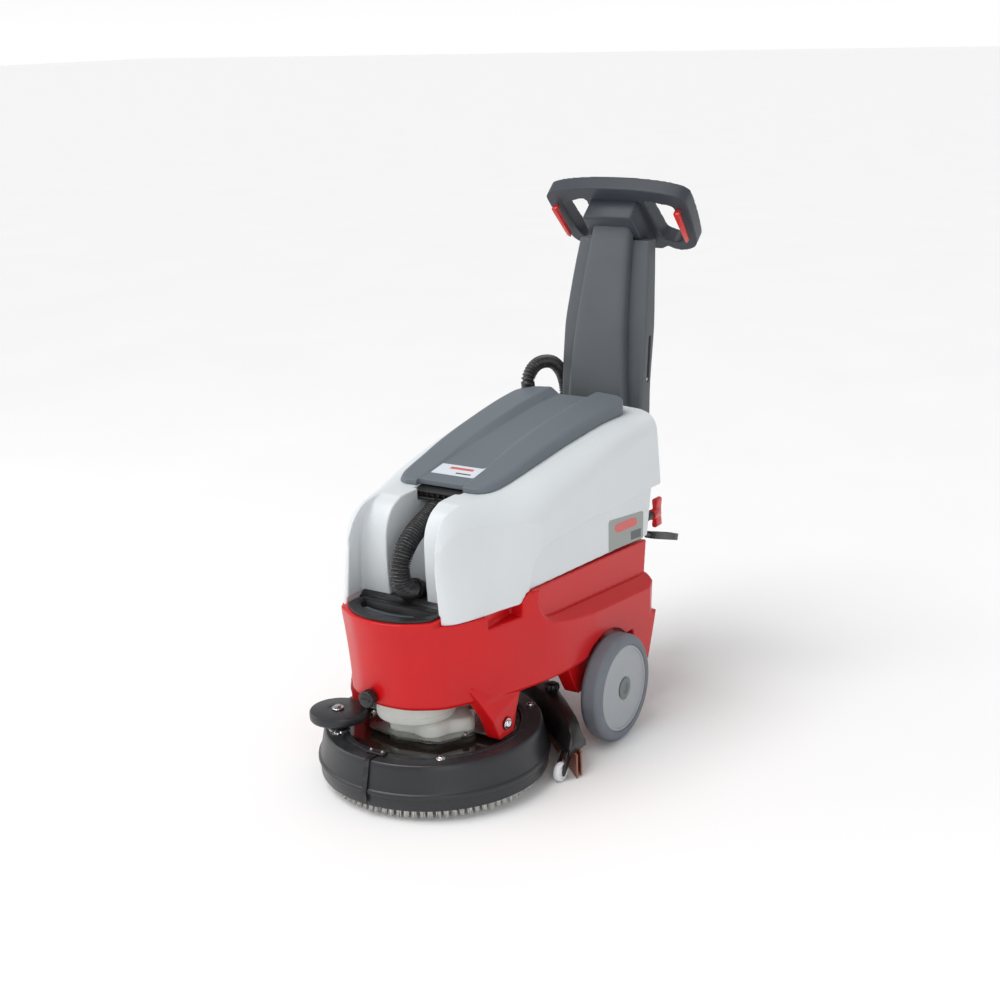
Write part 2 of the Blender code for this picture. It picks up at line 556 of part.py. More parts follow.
def make_recovery_tank():
    stations = (-0.128, -0.119, -0.110, -0.095, -0.07, -0.03, 0.01, 0.06, 0.12, 0.20, 0.35, 0.50, 0.70)
    obj = node("recovery_tank", loft([tank_section(y, 5) for y in stations]), WHITE)
    # Plan outline of the lobes and the bowed rear wall.
    rings = []
    for z in (0.36, 0.503, 0.72):
        front = [(x - LOBE_LEAN * (z - 0.38) * lean, y) for x, y, lean in LOBE_PLAN]
        rear = [(x, rear_bow(x, z)) for x in (0.206, 0.195, 0.17, 0.10, 0)]
        rings.append([(x, y, z) for x, y in mirrored(front + [(0.215, 0.57)] + rear)])
    combine(obj, loft(rings), "INTERSECT")
    # The waist lies further in, below a crease that rises behind the step.
    crease = [(0.062, 0.36), (0.080, 0.405), (0.098, 0.451), (0.120, 0.470), (0.150, 0.480),
            (0.345, 0.488), (0.72, 0.486)]
    crease += [(0.72, 0.36)]
    for side in (-1, 1):
        cut(obj, prism(crease, "x", *sorted((side * WAIST_X, side * 0.3))))
    overhang = [(TANK_REAR, 0.35), (TANK_REAR, 0.370), (0.600, 0.487), (0.80, 0.487), (0.80, 0.35)]
    cut(obj, prism(overhang, "x", -0.3, 0.3))
    # Underside follows the base tank's seam, and stays above its rim and the batteries.
    under = [(-0.25, 0.35), (-0.25, LOBE_SEAM + GAP), (STEP_Y - 0.03, LOBE_SEAM + GAP),
            (STEP_Y - 0.0135, RIM_BACK + 0.0006)]
    under += [(STEP_Y - 0.0045, RIM_BACK + 2 * GAP), (STEP_Y - 0.0005, SIDE_SEAM_FRONT + 2 * GAP)]
    under += [(0.75, seam(0.75) + GAP), (0.75, 0.35)]
    cut(obj, prism(under, "x", -0.3, 0.3))
    cut(obj, box((-0.1130, -0.2, 0.35), (0.1130, STEP_Y - 0.004, RIM_BACK + 0.0008)))
    cut(obj, box((-0.150, 0.03, 0.35), (0.150, 0.545, 0.404)))
    # Recess between the lobes, and the groove of the front hose in it.
    recess = [(-0.2, 0.35), (-0.064, 0.35), (-0.072, 0.47), (-0.070, 0.54), (-0.048, 0.575),
            (-0.02, 0.588), (0.03, 0.61)]
    recess += [(-0.2, 0.65)]
    cut(obj, prism(recess, "x", -0.1060, 0.1060))
    cut(obj, loft([[(side_x, -0.2, z), (side_x, -0.066, z)] + [(0.10, -0.066, z), (0.10, -0.2, z)]
            for side_x, z in ((0.1125, 0.35), (0.1125, 0.500))]))
    cut(obj, loft([[(-side_x, -0.2, z), (-side_x, -0.066, z)] + [(-0.10, -0.066, z), (-0.10, -0.2, z)]
            for side_x, z in ((0.1125, 0.35), (0.1125, 0.500))]))
    groove = [(-0.2, 0.35), (0.008, 0.35), (0.004, 0.460), (0.012, 0.500), (0.040, 0.522),
            (0.092, 0.5325), (0.092, 0.65)]
    groove += [(-0.2, 0.65)]
    cut(obj, prism(groove, "x", -0.045, 0.045))
    cut(obj, box((-0.056, 0.040, 0.566), (0.056, 0.092, 0.65)))
    # Dirty-water space, and its wide mouth under the lid.
    space = [(0.110, 0.412), (0.555, 0.412), (0.560, 0.50), (0.600, 0.505), (0.600, 0.625),
            (0.35, 0.612), (0.11, 0.565)]
    cut(obj, prism(space, "x", -0.165, 0.165))
    mouth = mirrored([(0, 0.110), (0.080, 0.110), (0.092, 0.130), (0.108, 0.50), (0.100, 0.526),
            (0, 0.526)])
    cut(obj, prism(mouth, "z", 0.55, 0.70))
    # Hole of the inlet cuff, and of the drain tap.
    cut(obj, cylinder(0.0080, 0.60, 0.70, CUFF, "z", 12))
    cut(obj, cylinder(0.0090, 0.54, 0.60, (TAP[0], 0, TAP[2]), "y", 12))
    return obj


CUFF = (-0.137, 0.6105, 0)
TAP = (0.165, 0.668, 0.402)


def lid_section(y, inset):
    """Cross-section of the lid: sloping ridges on each side of a shallow valley."""
    top = along(y, LID_TOP) - inset
    wide = along(y, LID_WIDE) - inset
    low = along(y, TANK_TOP) + 0.001 - 3 * inset
    ridge = min(0.075, wide * 0.7)
    valley = ridge - 0.028
    half = [(0, low), (wide, low), (wide, top - 0.008), (wide - 0.007, top), (ridge, top + 0.006)]
    half += [(valley, top - 0.003), (0, top - 0.003)]
    return [(x, y, z) for x, z in mirrored(half)]


def make_lid():
    stations = (0.05, 0.056, 0.068, 0.09, 0.15, 0.234, 0.358, 0.486, 0.585)
    obj = node("lid", loft([lid_section(y, 0) for y in stations]), SLATE, (0, HINGE_Y, HINGE_Z))
    corner = [(0.10, 0.60), (0.106, 0.585), (0.126, 0.574), (0.139, 0.556), (0.143, 0.530),
            (0.165, 0.52), (0.165, 0.60)]
    for side in (-1, 1):
        cut(obj, prism([(side * x, y) for x, y in corner], "z", 0.5, 0.75))
    inner = [lid_section(y, 0.004) for y in (0.072, 0.09, 0.15, 0.234, 0.358, 0.486, 0.545)]
    cut(obj, loft(inner))
    cut(obj, box((-0.056, 0.0, 0.5), (0.056, 0.074, 0.70)))
    # Front lip behind the notch closes the shell again.
    lip = [(0.0745, 0.5956), (0.0785, 0.5956), (0.0785, 0.6045), (0.0745, 0.6045)]
    unite(obj, prism(lip, "x", -0.060, 0.060))
    return obj


def make_lid_fittings():
    slab = [(0.095, along(0.095, TANK_TOP) + 0.0016)]
    slab += [(y, along(y, TANK_TOP) + 0.0016) for y in (0.20, 0.35, 0.50, 0.5445)]
    slab += [(y, z + 0.004) for y, z in reversed(slab)]
    gasket = node("lid_gasket", prism(slab, "x", -0.131, 0.131), BLACK)
    taper = mirrored([(0, 0.09), (0.100, 0.09), (0.127, 0.50), (0.122, 0.535), (0.104, 0.5445),
            (0, 0.5445)])
    combine(gasket, prism(taper, "z", 0.5, 0.75), "INTERSECT")
    hole = mirrored([(0, 0.105), (0.088, 0.105), (0.112, 0.530), (0, 0.530)])
    cut(gasket, prism(hole, "z", 0.5, 0.75))
    pin = cylinder(0.0035, -0.075, 0.075, (0, HINGE_Y, HINGE_Z), "x", 10)
    node("lid_hinge_pin", pin, STEEL)


def make_tank_fittings():
    # Black housing under the lid's notch, with the outlet spout of the front hose.
    body = [(0.0415, 0.5670), (0.0905, 0.5670), (0.0905, 0.5895), (0.0735, 0.5895), (0.0725, 0.5985),
            (0.0415, 0.5900)]
    outlet = node("vacuum_outlet", prism(body, "x", -0.0555, 0.0555), BLACK)
    cut(outlet, box((-0.050, 0.038, 0.5715), (0.050, 0.058, 0.586)))
    rib = [(0.040, 0.570), (0.070, 0.570), (0.070, 0.590), (0.048, 0.590)]
    unite(outlet, prism(rib, "x", -0.004, 0.004))
    cuff = [(0, 0.620), (0.0077, 0.620), (0.0077, 0.6526), (0.0190, 0.6526), (0.0190, 0.6700),
            (0, 0.6700)]
    node("inlet_cuff", turned(cuff, CUFF, "z", 20), BLACK)
    # Drain tap at the rear: fixed stem and turning wing handle.
    stem = [(0, 0.556), (0.0087, 0.556), (0.0087, 0.5872), (0.013, 0.5872), (0.013, 0.602)]
    stem += [(0.009, 0.606), (0.009, 0.640), (0, 0.640)]
    node("tap_stem", turned(stem, (TAP[0], 0, TAP[2]), "y", 12), BLACK)
    wing = node("tap_handle", cylinder(0.011, 0.6403, 0.668, (TAP[0], 0, TAP[2]), "y", 14), SIGNAL,
            (TAP[0], 0.654, TAP[2]))
    blade = [(TAP[0] - 0.006, TAP[2] - 0.030), (TAP[0] + 0.002, TAP[2] - 0.033),
            (TAP[0] + 0.0055, TAP[2] - 0.027)]
    blade += [(TAP[0] + 0.005, TAP[2]), (TAP[0] + 0.0055, TAP[2] + 0.027),
            (TAP[0] + 0.002, TAP[2] + 0.033)]
    blade += [(TAP[0] - 0.006, TAP[2] + 0.030), (TAP[0] - 0.005, TAP[2])]
    unite(wing, prism(blade, "y", 0.6560, 0.6800))


def add_tube(name, points, radius, spacing, mat):
    """A hose along a smooth curve through the given points, with a ring at every spacing."""
    curve = bpy.data.curves.new(name, "CURVE")
    curve.dimensions = "3D"
    curve.bevel_depth = radius
    curve.bevel_resolution = 3
    curve.use_fill_caps = True
    spline = curve.splines.new("POLY")
    path = smooth_path(points, spacing)
    spline.points.add(len(path) - 1)
    for spot, point in zip(spline.points, path):
        spot.co = (*point, 1.0)
    curve.materials.append(mat)
    obj = bpy.data.objects.new(name, curve)
    obj.parent = MACHINE
    bpy.context.collection.objects.link(obj)
    return obj


def smooth_path(points, spacing):
    """Catmull-Rom curve through the points, read at an even spacing."""
    pts = [Vector(p) for p in points]
    pts = [2 * pts[0] - pts[1]] + pts + [2 * pts[-1] - pts[-2]]
    fine = []
    for a, b, c, d in zip(pts, pts[1:], pts[2:], pts[3:]):
        for i in range(20):
            t = i / 20
            fine.append(0.5 * (2 * b + (c - a) * t + (2 * a - 5 * b + 4 * c - d) * t * t
                               + (3 * b - a - 3 * c + d) * t ** 3))
    fine.append(pts[-2])
    total = sum((q - p).length for p, q in zip(fine, fine[1:]))
    count = max(4, round(total / spacing))
    path = [fine[0]]
    travelled = 0.0
    for p, q in zip(fine, fine[1:]):
        travelled += (q - p).length
        while len(path) < count and travelled >= len(path) * total / count:
            path.append(q)
    path.append(fine[-1])
    return path


FRONT_HOSE = [(0, 0.0400, 0.5520), (0, 0.0150, 0.5460), (0, -0.020, 0.5350), (0, -0.050, 0.5200),
        (0, -0.0760, 0.4980), (0, -0.0905, 0.4700), (0, -0.0900, 0.4430)]
FRONT_HOSE += [(0, -0.0790, 0.4260), (0, -0.0640, 0.4155), (0, -0.0500, 0.4112)]
ELBOW = [(0, -0.0485, 0.4107), (0, -0.0380, 0.4078), (0, -0.0270, 0.4010), (0, -0.0195, 0.3900),
        (0, -0.0168, 0.3780)]
ELBOW += [(0, -0.0165, 0.3660)]
REAR_UPPER = [(-0.137, 0.6105, 0.6718), (-0.137, 0.6105, 0.695), (-0.136, 0.635, 0.717),
        (-0.134, 0.672, 0.723)]
REAR_UPPER += [(-0.130, 0.715, 0.712), (-0.127, 0.750, 0.676), (-0.1265, 0.762, 0.620),
        (-0.124, 0.750, 0.520)]
REAR_UPPER += [(-0.123, 0.705, 0.410), (-0.121, 0.655, 0.330), (-0.1175, 0.614, 0.282),
        (-0.116, 0.605, 0.262)]
REAR_UPPER += [(-0.116, 0.605, 0.2389)]
REAR_LOWER = [(-0.116, 0.605, 0.2111), (-0.116, 0.605, 0.186), (-0.105, 0.595, 0.145),
        (-0.070, 0.562, 0.112)]
REAR_LOWER += [(-0.028, 0.515, 0.093), (-0.006, 0.475, 0.084), (0.0, 0.455, 0.0820),
        (0.0, 0.4309, 0.0820)]


def make_hoses():
    add_tube("front_hose", FRONT_HOSE, 0.0200, 0.016, BLACK)
    add_tube("hose_elbow", ELBOW, 0.0190, 0.009, BLACK)
    add_tube("rear_hose_upper", REAR_UPPER, 0.0152, 0.028, BLACK)
    add_tube("rear_hose_lower", REAR_LOWER, 0.0165, 0.024, BLACK)
    clip = [(0.010, 0.2120), (0.0205, 0.2120), (0.0205, 0.2380), (0.010, 0.2380)]
    obj = node("hose_coupling", turned(clip, (-0.116, 0.605, 0), "z", 20), BLACK)
    unite(obj, box((-0.130, 0.5620, 0.216), (-0.102, 0.588, 0.234)))


# ---- squeegee and its lift ----------------------------------------------------------------------


def sweep_y(x):
    """The squeegee's bow: where its middle line lies at x."""
    return 0.385 - math.sqrt((0.95 * x) ** 2 + 0.045 ** 2)


def bow_loft(stations, section):
    rings = []
    for x in stations:
        rings.append([(x, y, z) for y, z in section(x)])
    return loft(rings)


def make_squeegee():
    def body(x):
        spread = abs(x)
        middle = sweep_y(x)
        half = along(spread, [(0, 0.048), (0.14, 0.040), (0.20, 0.037), (0.262, 0.030)])
        top = along(spread, [(0, 0.100), (0.06, 0.100), (KNOB_X, 0.110), (0.20, 0.106), (0.262, 0.088)])
        return [(middle - half, 0.052), (middle + half, 0.052), (middle + half, 0.064),
                (middle + half * 0.45, top),
                (middle - half * 0.45, top), (middle - half, 0.064)]

    stations = [-0.262, -0.20, -0.14, -0.09, -0.05, -0.02, 0.02, 0.05, 0.09, 0.14, 0.20, 0.262]
    obj = node("squeegee_body", bow_loft(stations, body), BLACK, (0, LIFT_Y, LIFT_Z))
    unite(obj, cylinder(0.0155, 0.34, 0.4300, (0, 0, 0.0820), "y", 16))
    for side in (-1, 1):
        hole = (side * KNOB_X, sweep_y(KNOB_X), 0)
        cut(obj, cylinder(0.0050, 0.075, 0.13, hole, "z", 8))
        # Fork and pin of the support wheel before the tip.
        x = side * SUPPORT_X
        cheek = [(0.0800, 0.0150), (0.0900, 0.0150), (0.1140, 0.0480), (0.1200, 0.0560),
                (0.1000, 0.0560), (0.0800, 0.0250)]
        for offset in (-0.0085, 0.0085):
            unite(obj, prism(cheek, "x", x + offset - 0.0010, x + offset + 0.0010))
        unite(obj, cylinder(0.0030, x - 0.0090, x + 0.0090, (0, 0.0850, 0.0200), "x", 10))
    for name, offset in (("front", -0.014), ("rear", 0.010)):
        rings = []
        for i in range(17):
            x = -SQUEEGEE_X + 2 * SQUEEGEE_X * i / 16
            y = sweep_y(x) + offset * along(abs(x), [(0, 1), (SQUEEGEE_X, 0.7)])
            rings.append([(x, y - 0.003, 0.0), (x, y + 0.003, 0.0), (x, y + 0.003, 0.0516),
                    (x, y - 0.003, 0.0516)])
        node("squeegee_blade_" + name, loft(rings), BLADE)
    arms = bmesh.new()
    bar = [(0.330, 0.1012), (0.372, 0.1012), (0.400, 0.118), (0.470, 0.150), (0.500, 0.158),
            (0.512, 0.166)]
    bar += [(0.512, 0.178), (0.500, 0.186), (0.480, 0.178), (0.390, 0.135), (0.330, 0.108)]
    for side in (-1, 1):
        shifted = [(y - 0.004, z) for y, z in bar]
        add_prism(arms, shifted, "x", *sorted((side * 0.040, side * 0.046)))
    obj = node("squeegee_arms", arms, STEEL)
    unite(obj, cylinder(0.0080, -0.074, 0.074, (0, LIFT_Y, LIFT_Z), "x", 16))
    unite(obj, box((-0.046, 0.455, 0.150), (0.046, 0.461, 0.163)))
    hanger = box((-0.078, 0.480, 0.192), (0.078, 0.520, 0.1995))
    obj = node("squeegee_hanger", hanger, STEEL)
    for side in (-1, 1):
        low, high = sorted((side * 0.062, side * 0.070))
        unite(obj, box((low, 0.486, 0.158), (high, 0.514, 0.195)))
    cut(obj, cylinder(0.00825, -0.10, 0.10, (0, LIFT_Y, LIFT_Z), "x", 16))
    for name, side in LEFT_RIGHT:
        spot = (side * KNOB_X, sweep_y(KNOB_X), 0)
        low = 0.1105
        knob = [(0, 0.080), (0.0044, 0.080), (0.0044, low), (0.014, low), (0.0165, low + 0.003),
                (0.0165, low + 0.014)]
        knob += [(0.012, low + 0.017), (0, low + 0.017)]
        node("squeegee_knob_" + name, turned(knob, spot, "z", 14), BLACK, (*spot[:2], low))
        centre = (side * SUPPORT_X, 0.0850, 0.0200)
        wheel = [(0.0035, -0.0070), (0.0165, -0.0070), (0.0200, -0.0035), (0.0200, 0.0035),
                (0.0165, 0.0070), (0.0035, 0.0070)]
        smooth(node("support_wheel_" + name, turned(wheel, centre, "x", 16), CLEAR, centre))
KNOB_X = 0.130
SUPPORT_X = 0.2500


def make_lift_lever():
    slope = math.atan2(-0.075, 0.242)
    turn = Matrix.Rotation(slope, 4, "X")
    shaft = bmesh.new()
    add_prism(shaft, [(-0.008, -0.0035), (0.008, -0.0035), (0.008, 0.0035), (-0.008, 0.0035)], "y",
            -0.004, 0.13)
    flat = [(0.0, -0.008), (0.010, -0.008), (0.015, -0.003), (0.015, 0.003), (0.010, 0.008), (0, 0.008)]
    bmesh.ops.transform(shaft, matrix=turn, verts=shaft.verts)
    bmesh.ops.translate(shaft, vec=(LEVER_X, LEVER_Y, LEVER_Z), verts=shaft.verts)
    obj = node("lift_lever", shaft, BLACK, (LEVER_X, LEVER_Y, LEVER_Z))
    grip = prism(mirrored(flat), "y", 0.120, 0.254)
    bmesh.ops.transform(grip, matrix=turn, verts=grip.verts)
    bmesh.ops.translate(grip, vec=(LEVER_X, LEVER_Y, LEVER_Z), verts=grip.verts)
    unite(obj, grip)
    unite(obj, cylinder(0.0090, LEVER_X - 0.0080, LEVER_X + 0.0080, (0, LEVER_Y, LEVER_Z), "x", 16))
    cut(obj, cylinder(0.0042, LEVER_X - 0.02, LEVER_X + 0.02, (0, LEVER_Y, LEVER_Z), "x", 12))


# ---- column, yoke and controls ------------------------------------------------------------------

COLUMN_FRONT = [(0.38, 0.735), (0.50, 0.712), (0.64, 0.706), (0.79, 0.722), (0.90, 0.746),
        (1.00, 0.772), (1.08, 0.797)]
COLUMN_REAR = [(0.38, 0.765), (0.50, 0.7585), (0.64, 0.757), (0.79, 0.775), (0.965, 0.808), (1.05, 0.830)]
COLUMN_WIDE = [(0.38, 0.055), (0.50, 0.095), (0.64, 0.105), (0.79, 0.106), (0.90, 0.099),
        (1.00, 0.089), (1.05, 0.083)]


def column_ring(z, inset):
    wide = along(z, COLUMN_WIDE) - inset
    front = along(z, COLUMN_FRONT) + inset
    rear = along(z, COLUMN_REAR) - inset
    half = [(0, front), (wide - 0.006, front), (wide, front + 0.006), (wide, rear - 0.008),
            (wide - 0.012, rear), (0, rear)]
    return [(x, y, z) for x, y in mirrored(half)]


def make_column():
    levels = (0.38, 0.44, 0.50, 0.57, 0.64, 0.71, 0.79, 0.85, 0.90, 0.95, 1.00)
    obj = node("column_housing", loft([column_ring(z, 0) for z in levels]), SLATE)
    smooth(obj, 30)
    cut(obj, loft([column_ring(z, 0.004) for z in (0.37, 0.50, 0.64, 0.79, 0.90, 0.99)]))
    slot = arc((0.7365, 0.690), 0.006, 180, 360, 4) + arc((0.7465, 0.785), 0.006, 0, 180, 4)
    for side in (-1, 1):
        cut(obj, prism(slot, "x", *sorted((side * 0.09, side * 0.12))))

    def cover_ring(z, inset):
        wide = along(z, [(0.55, 0.075), (0.64, 0.072), (0.90, 0.056), (1.07, 0.045)]) - inset
        back = along(z, COLUMN_FRONT) - (GAP if not inset else -0.01)
        depth = along(z, [(0.55, 0.034), (0.64, 0.033), (0.90, 0.030), (1.00, 0.026), (1.06, 0.024)])
        front = along(z, COLUMN_FRONT) - depth + inset
        half = [(0, front), (wide - 0.014, front + 0.001), (wide - 0.005, front + 0.006),
                (wide, front + 0.014)]
        half += [(wide + 0.002, back), (0, back)]
        return [(x, y, z) for x, y in mirrored(half)]

    heights = (0.555, 0.60, 0.64, 0.71, 0.79, 0.85, 0.90, 0.95, 1.00, 1.040, 1.072)
    obj = node("column_cover", loft([cover_ring(z, 0) for z in heights]), SLATE)
    smooth(obj, 50)
    cut(obj, loft([cover_ring(z, 0.004) for z in (0.54, 0.64, 0.79, 0.90, 1.00, 1.045)]))
    over = [(-0.1, -0.1), (0.1, -0.1), (0.1, 0.2), (-0.1, 0.2)]
    cut(obj, on_yoke(prism(over, "z", -YOKE_THICK - 0.0008, 0.08)))


def make_rear_bracket():
    side_plate = [(BASE_REAR + GAP, 0.300), (0.740, 0.310), (0.7735, 0.340), (0.7735, 0.620),
            (0.7668, 0.620)]
    side_plate += [(0.7668, 0.378), (0.700, 0.360), (BASE_REAR + GAP, 0.360)]
    bars = bmesh.new()
    for side in (-1, 1):
        add_prism(bars, side_plate, "x", *sorted((side * 0.040, side * 0.044)))
    obj = node("rear_bracket", bars, STEEL)
    unite(obj, box((-0.052, BASE_REAR + GAP, 0.300), (0.052, BASE_REAR + 0.005, 0.360)))
    unite(obj, box((-0.044, 0.7668, 0.385), (0.044, 0.7705, 0.615)))
    # Arm to the right that carries the squeegee lever on its pin.
    unite(obj, box((0.040, BASE_REAR + GAP, 0.330), (LEVER_X + 0.0145, BASE_REAR + 0.005, 0.360)))
    lug = [(BASE_REAR + 0.002, 0.332), (BASE_REAR + 0.008, 0.332), (LEVER_Y + 0.006, 0.352),
            (LEVER_Y + 0.011, LEVER_Z)]
    lug += [(LEVER_Y, LEVER_Z + 0.0095), (BASE_REAR + 0.002, 0.359)]
    for x in (LEVER_X - 0.0115, LEVER_X + 0.0085):
        unite(obj, prism(lug, "x", x, x + 0.003))
    unite(obj, cylinder(0.0040, LEVER_X - 0.0135, LEVER_X + 0.0135, (0, LEVER_Y, LEVER_Z), "x", 12))


def on_yoke(bm):
    """Turn a shape drawn in the yoke's own plane (x, down the slope, normal) into place."""
    down = Vector((0, math.cos(YOKE_SLOPE), -math.sin(YOKE_SLOPE)))
    normal = Vector((0, math.sin(YOKE_SLOPE), math.cos(YOKE_SLOPE)))
    for vert in bm.verts:
        x, along_slope, out = vert.co
        vert.co = Vector((x, BAR_Y, HANDLE_TOP - 0.0105)) + down * along_slope + normal * out
    return bm


YOKE_HALF = [(0, -0.008), (0.06, -0.006), (0.12, 0.001), (0.160, 0.011), (0.174, 0.021), (0.180, 0.038),
        (0.175, 0.100)]
YOKE_HALF += [(0.166, 0.155), (0.160, 0.172), (0.148, 0.184), (0.125, 0.192), (0.104, 0.191),
        (0.085, 0.182), (0.066, 0.192), (0, 0.192)]
HAND_HOLE = [(0.074, 0.037), (0.115, 0.039), (0.136, 0.044), (0.143, 0.056), (0.141, 0.110),
        (0.134, 0.150)]
HAND_HOLE += [(0.120, 0.163), (0.100, 0.160), (0.078, 0.136)]


def make_yoke():
    obj = node("handle_yoke", on_yoke(prism(mirrored(YOKE_HALF), "z", -YOKE_THICK, YOKE_THICK)), DARK)
    for side in (-1, 1):
        cut(obj, on_yoke(prism([(side * x, v) for x, v in HAND_HOLE], "z", -0.06, 0.06)))
    round_edges(obj, 0.005, 2, 50)
    # Head that clamps the yoke on the column, under the yoke.
    head = [(0, 0.03), (0.058, 0.03), (0.064, 0.045), (0.064, 0.150), (0.056, 0.172), (0, 0.172)]
    obj = node("column_head", on_yoke(prism(mirrored(head), "z", -0.070, -YOKE_THICK - 0.0006)), BLACK)
    cut(obj, loft([column_ring(z, -0.0010) for z in (0.93, 1.0006)]))
    cut(obj, box((-0.060, 0.70, 0.93), (0.060, 0.7960, 1.0730)))
    panel = [(0, 0.026), (0.050, 0.026), (0.058, 0.034), (0.058, 0.158), (0.050, 0.166), (0, 0.166)]
    obj = node("control_panel", on_yoke(prism(mirrored(panel), "z", YOKE_THICK + 0.0005, 0.034)), BLACK)
    for x, v in ((-0.025, 0.075), (0.025, 0.075), (0.0, 0.122)):
        hole = cylinder(0.0092, 0.024, 0.044, (x, v, 0), "z", 14)
        cut(obj, on_yoke(hole))
    for name, x, v, mat in (("brush_button", -0.025, 0.075, CAP),
            ("vacuum_button", 0.025, 0.075, CAP), ("key_switch", 0.0, 0.122, STEEL)):
        centre = on_yoke_point(x, v, 0.034)
        low = 0.0275 if name.endswith("button") else 0.0245
        obj = node(name, on_yoke(cylinder(0.0087, low, 0.0385, (x, v, 0), "z", 14)), mat, centre)
        if name == "key_switch":
            unite(obj, on_yoke(box((x - 0.0015, v - 0.007, 0.038), (x + 0.0015, v + 0.007, 0.050))))
    for name, side in LEFT_RIGHT:
        lever = [(0.151, 0.046), (0.164, 0.047), (0.158, 0.138), (0.151, 0.143), (0.144, 0.136)]
        pivot = on_yoke_point(side * 0.157, 0.052, -0.0250)
        trigger = node("trigger_" + name, on_yoke(prism([(side * x, v) for x, v in lever], "z",
                -0.0385, -0.0285)), SIGNAL, pivot)
        unite(trigger, on_yoke(box((side * 0.157 - 0.004, 0.048, -0.034),
                (side * 0.157 + 0.004, 0.056, -0.0210))))


def on_yoke_point(x, v, out):
    down = Vector((0, math.cos(YOKE_SLOPE), -math.sin(YOKE_SLOPE)))
    normal = Vector((0, math.sin(YOKE_SLOPE), math.cos(YOKE_SLOPE)))
    return Vector((x, BAR_Y, HANDLE_TOP - 0.0105)) + down * v + normal * out


make_base_tank()
make_fill_tray()
make_filter_cap()
make_inner_works()
make_deck()
make_brush()
make_wheels()
make_recovery_tank()
make_lid()
make_lid_fittings()
make_tank_fittings()
make_hoses()
make_squeegee()
make_lift_lever()
make_column()
make_rear_bracket()
make_yoke()
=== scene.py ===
"""Looks of the walk-behind floor scrubber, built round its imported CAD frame.

Shapes are drawn from the brush's axis at floor level, in metres, and moved by BRUSH_Y into the
frame's coordinates. Left is -X, the operator stands at +Y.
"""

import json
import math
import random

import bmesh
import bpy
from mathutils import Matrix, Vector

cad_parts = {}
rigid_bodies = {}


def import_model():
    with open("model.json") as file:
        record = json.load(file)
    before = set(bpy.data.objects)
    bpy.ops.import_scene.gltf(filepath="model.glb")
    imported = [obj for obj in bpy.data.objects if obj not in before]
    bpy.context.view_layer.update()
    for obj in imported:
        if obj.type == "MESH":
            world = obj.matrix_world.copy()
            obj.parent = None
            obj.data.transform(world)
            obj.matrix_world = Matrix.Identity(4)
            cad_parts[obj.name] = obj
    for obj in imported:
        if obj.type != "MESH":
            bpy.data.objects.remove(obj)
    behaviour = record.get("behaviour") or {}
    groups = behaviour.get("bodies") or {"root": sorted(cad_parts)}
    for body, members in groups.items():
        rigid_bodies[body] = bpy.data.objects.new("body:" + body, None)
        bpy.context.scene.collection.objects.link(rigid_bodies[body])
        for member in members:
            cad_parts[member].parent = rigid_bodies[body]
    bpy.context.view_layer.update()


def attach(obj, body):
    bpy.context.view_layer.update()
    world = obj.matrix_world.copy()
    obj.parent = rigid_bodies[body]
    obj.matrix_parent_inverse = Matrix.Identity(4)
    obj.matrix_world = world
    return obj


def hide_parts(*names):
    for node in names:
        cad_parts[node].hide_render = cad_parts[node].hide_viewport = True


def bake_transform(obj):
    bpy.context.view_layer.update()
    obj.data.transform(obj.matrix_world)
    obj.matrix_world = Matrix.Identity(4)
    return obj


for startup in list(bpy.data.objects):
    bpy.data.objects.remove(startup, do_unlink=True)
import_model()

BRUSH_Y = -0.3328
SHIFT = Matrix.Translation((0, BRUSH_Y, 0))
SIDES = (("left", -1), ("right", 1))


def tuned(node, **values):
    """Set a shader node's inputs, with _ for each space in their names."""
    for key, value in values.items():
        node.inputs[key.replace("_", " ")].default_value = value
    return node


# ---- camera and light ---------------------------------------------------------------------------


def look(place, azimuth, elevation, roll):
    """Camera matrix that looks back along the direction given by azimuth and elevation."""
    a, e, t = map(math.radians, (azimuth, elevation, roll))
    back = Vector((math.sin(a) * math.cos(e), -math.cos(a) * math.cos(e), math.sin(e)))
    right = Vector((math.cos(a), math.sin(a), 0))
    up = back.cross(right)
    turned_right = math.cos(t) * right + math.sin(t) * up
    turned_up = -math.sin(t) * right + math.cos(t) * up
    turn = Matrix((turned_right, turned_up, back)).transposed().to_4x4()
    return Matrix.Translation(place) @ turn


camera_data = bpy.data.cameras.new("camera")
camera_data.lens = 58.79
camera_data.sensor_width = 36.0
camera = bpy.data.objects.new("camera", camera_data)
bpy.context.scene.collection.objects.link(camera)
camera.matrix_world = look((1.81988, -2.83283, 1.48903), 33.303, 16.427, -1.596)
bpy.context.scene.camera = camera


def area_light(name, place, target, size, power):
    data = bpy.data.lights.new(name, "AREA")
    data.shape = "RECTANGLE"
    data.size, data.size_y = size
    data.energy = power
    obj = bpy.data.objects.new(name, data)
    bpy.context.scene.collection.objects.link(obj)
    obj.location = place
    obj.rotation_euler = (Vector(target) - Vector(place)).to_track_quat("-Z", "Y").to_euler()


sun_data = bpy.data.lights.new("soft_sun", "SUN")
sun_data.energy = 1.7
sun_data.angle = math.radians(40)
sun = bpy.data.objects.new("soft_sun", sun_data)
bpy.context.scene.collection.objects.link(sun)
sun.rotation_euler = Vector((0.3, 0.42, -1.0)).to_track_quat("-Z", "Y").to_euler()
area_light("front_light", (2.6, -2.8, 1.7), (0, -0.1, 0.45), (1.4, 1.8), 18)
area_light("left_light", (-2.8, -1.4, 1.5), (0, 0, 0.5), (1.4, 2.0), 16)

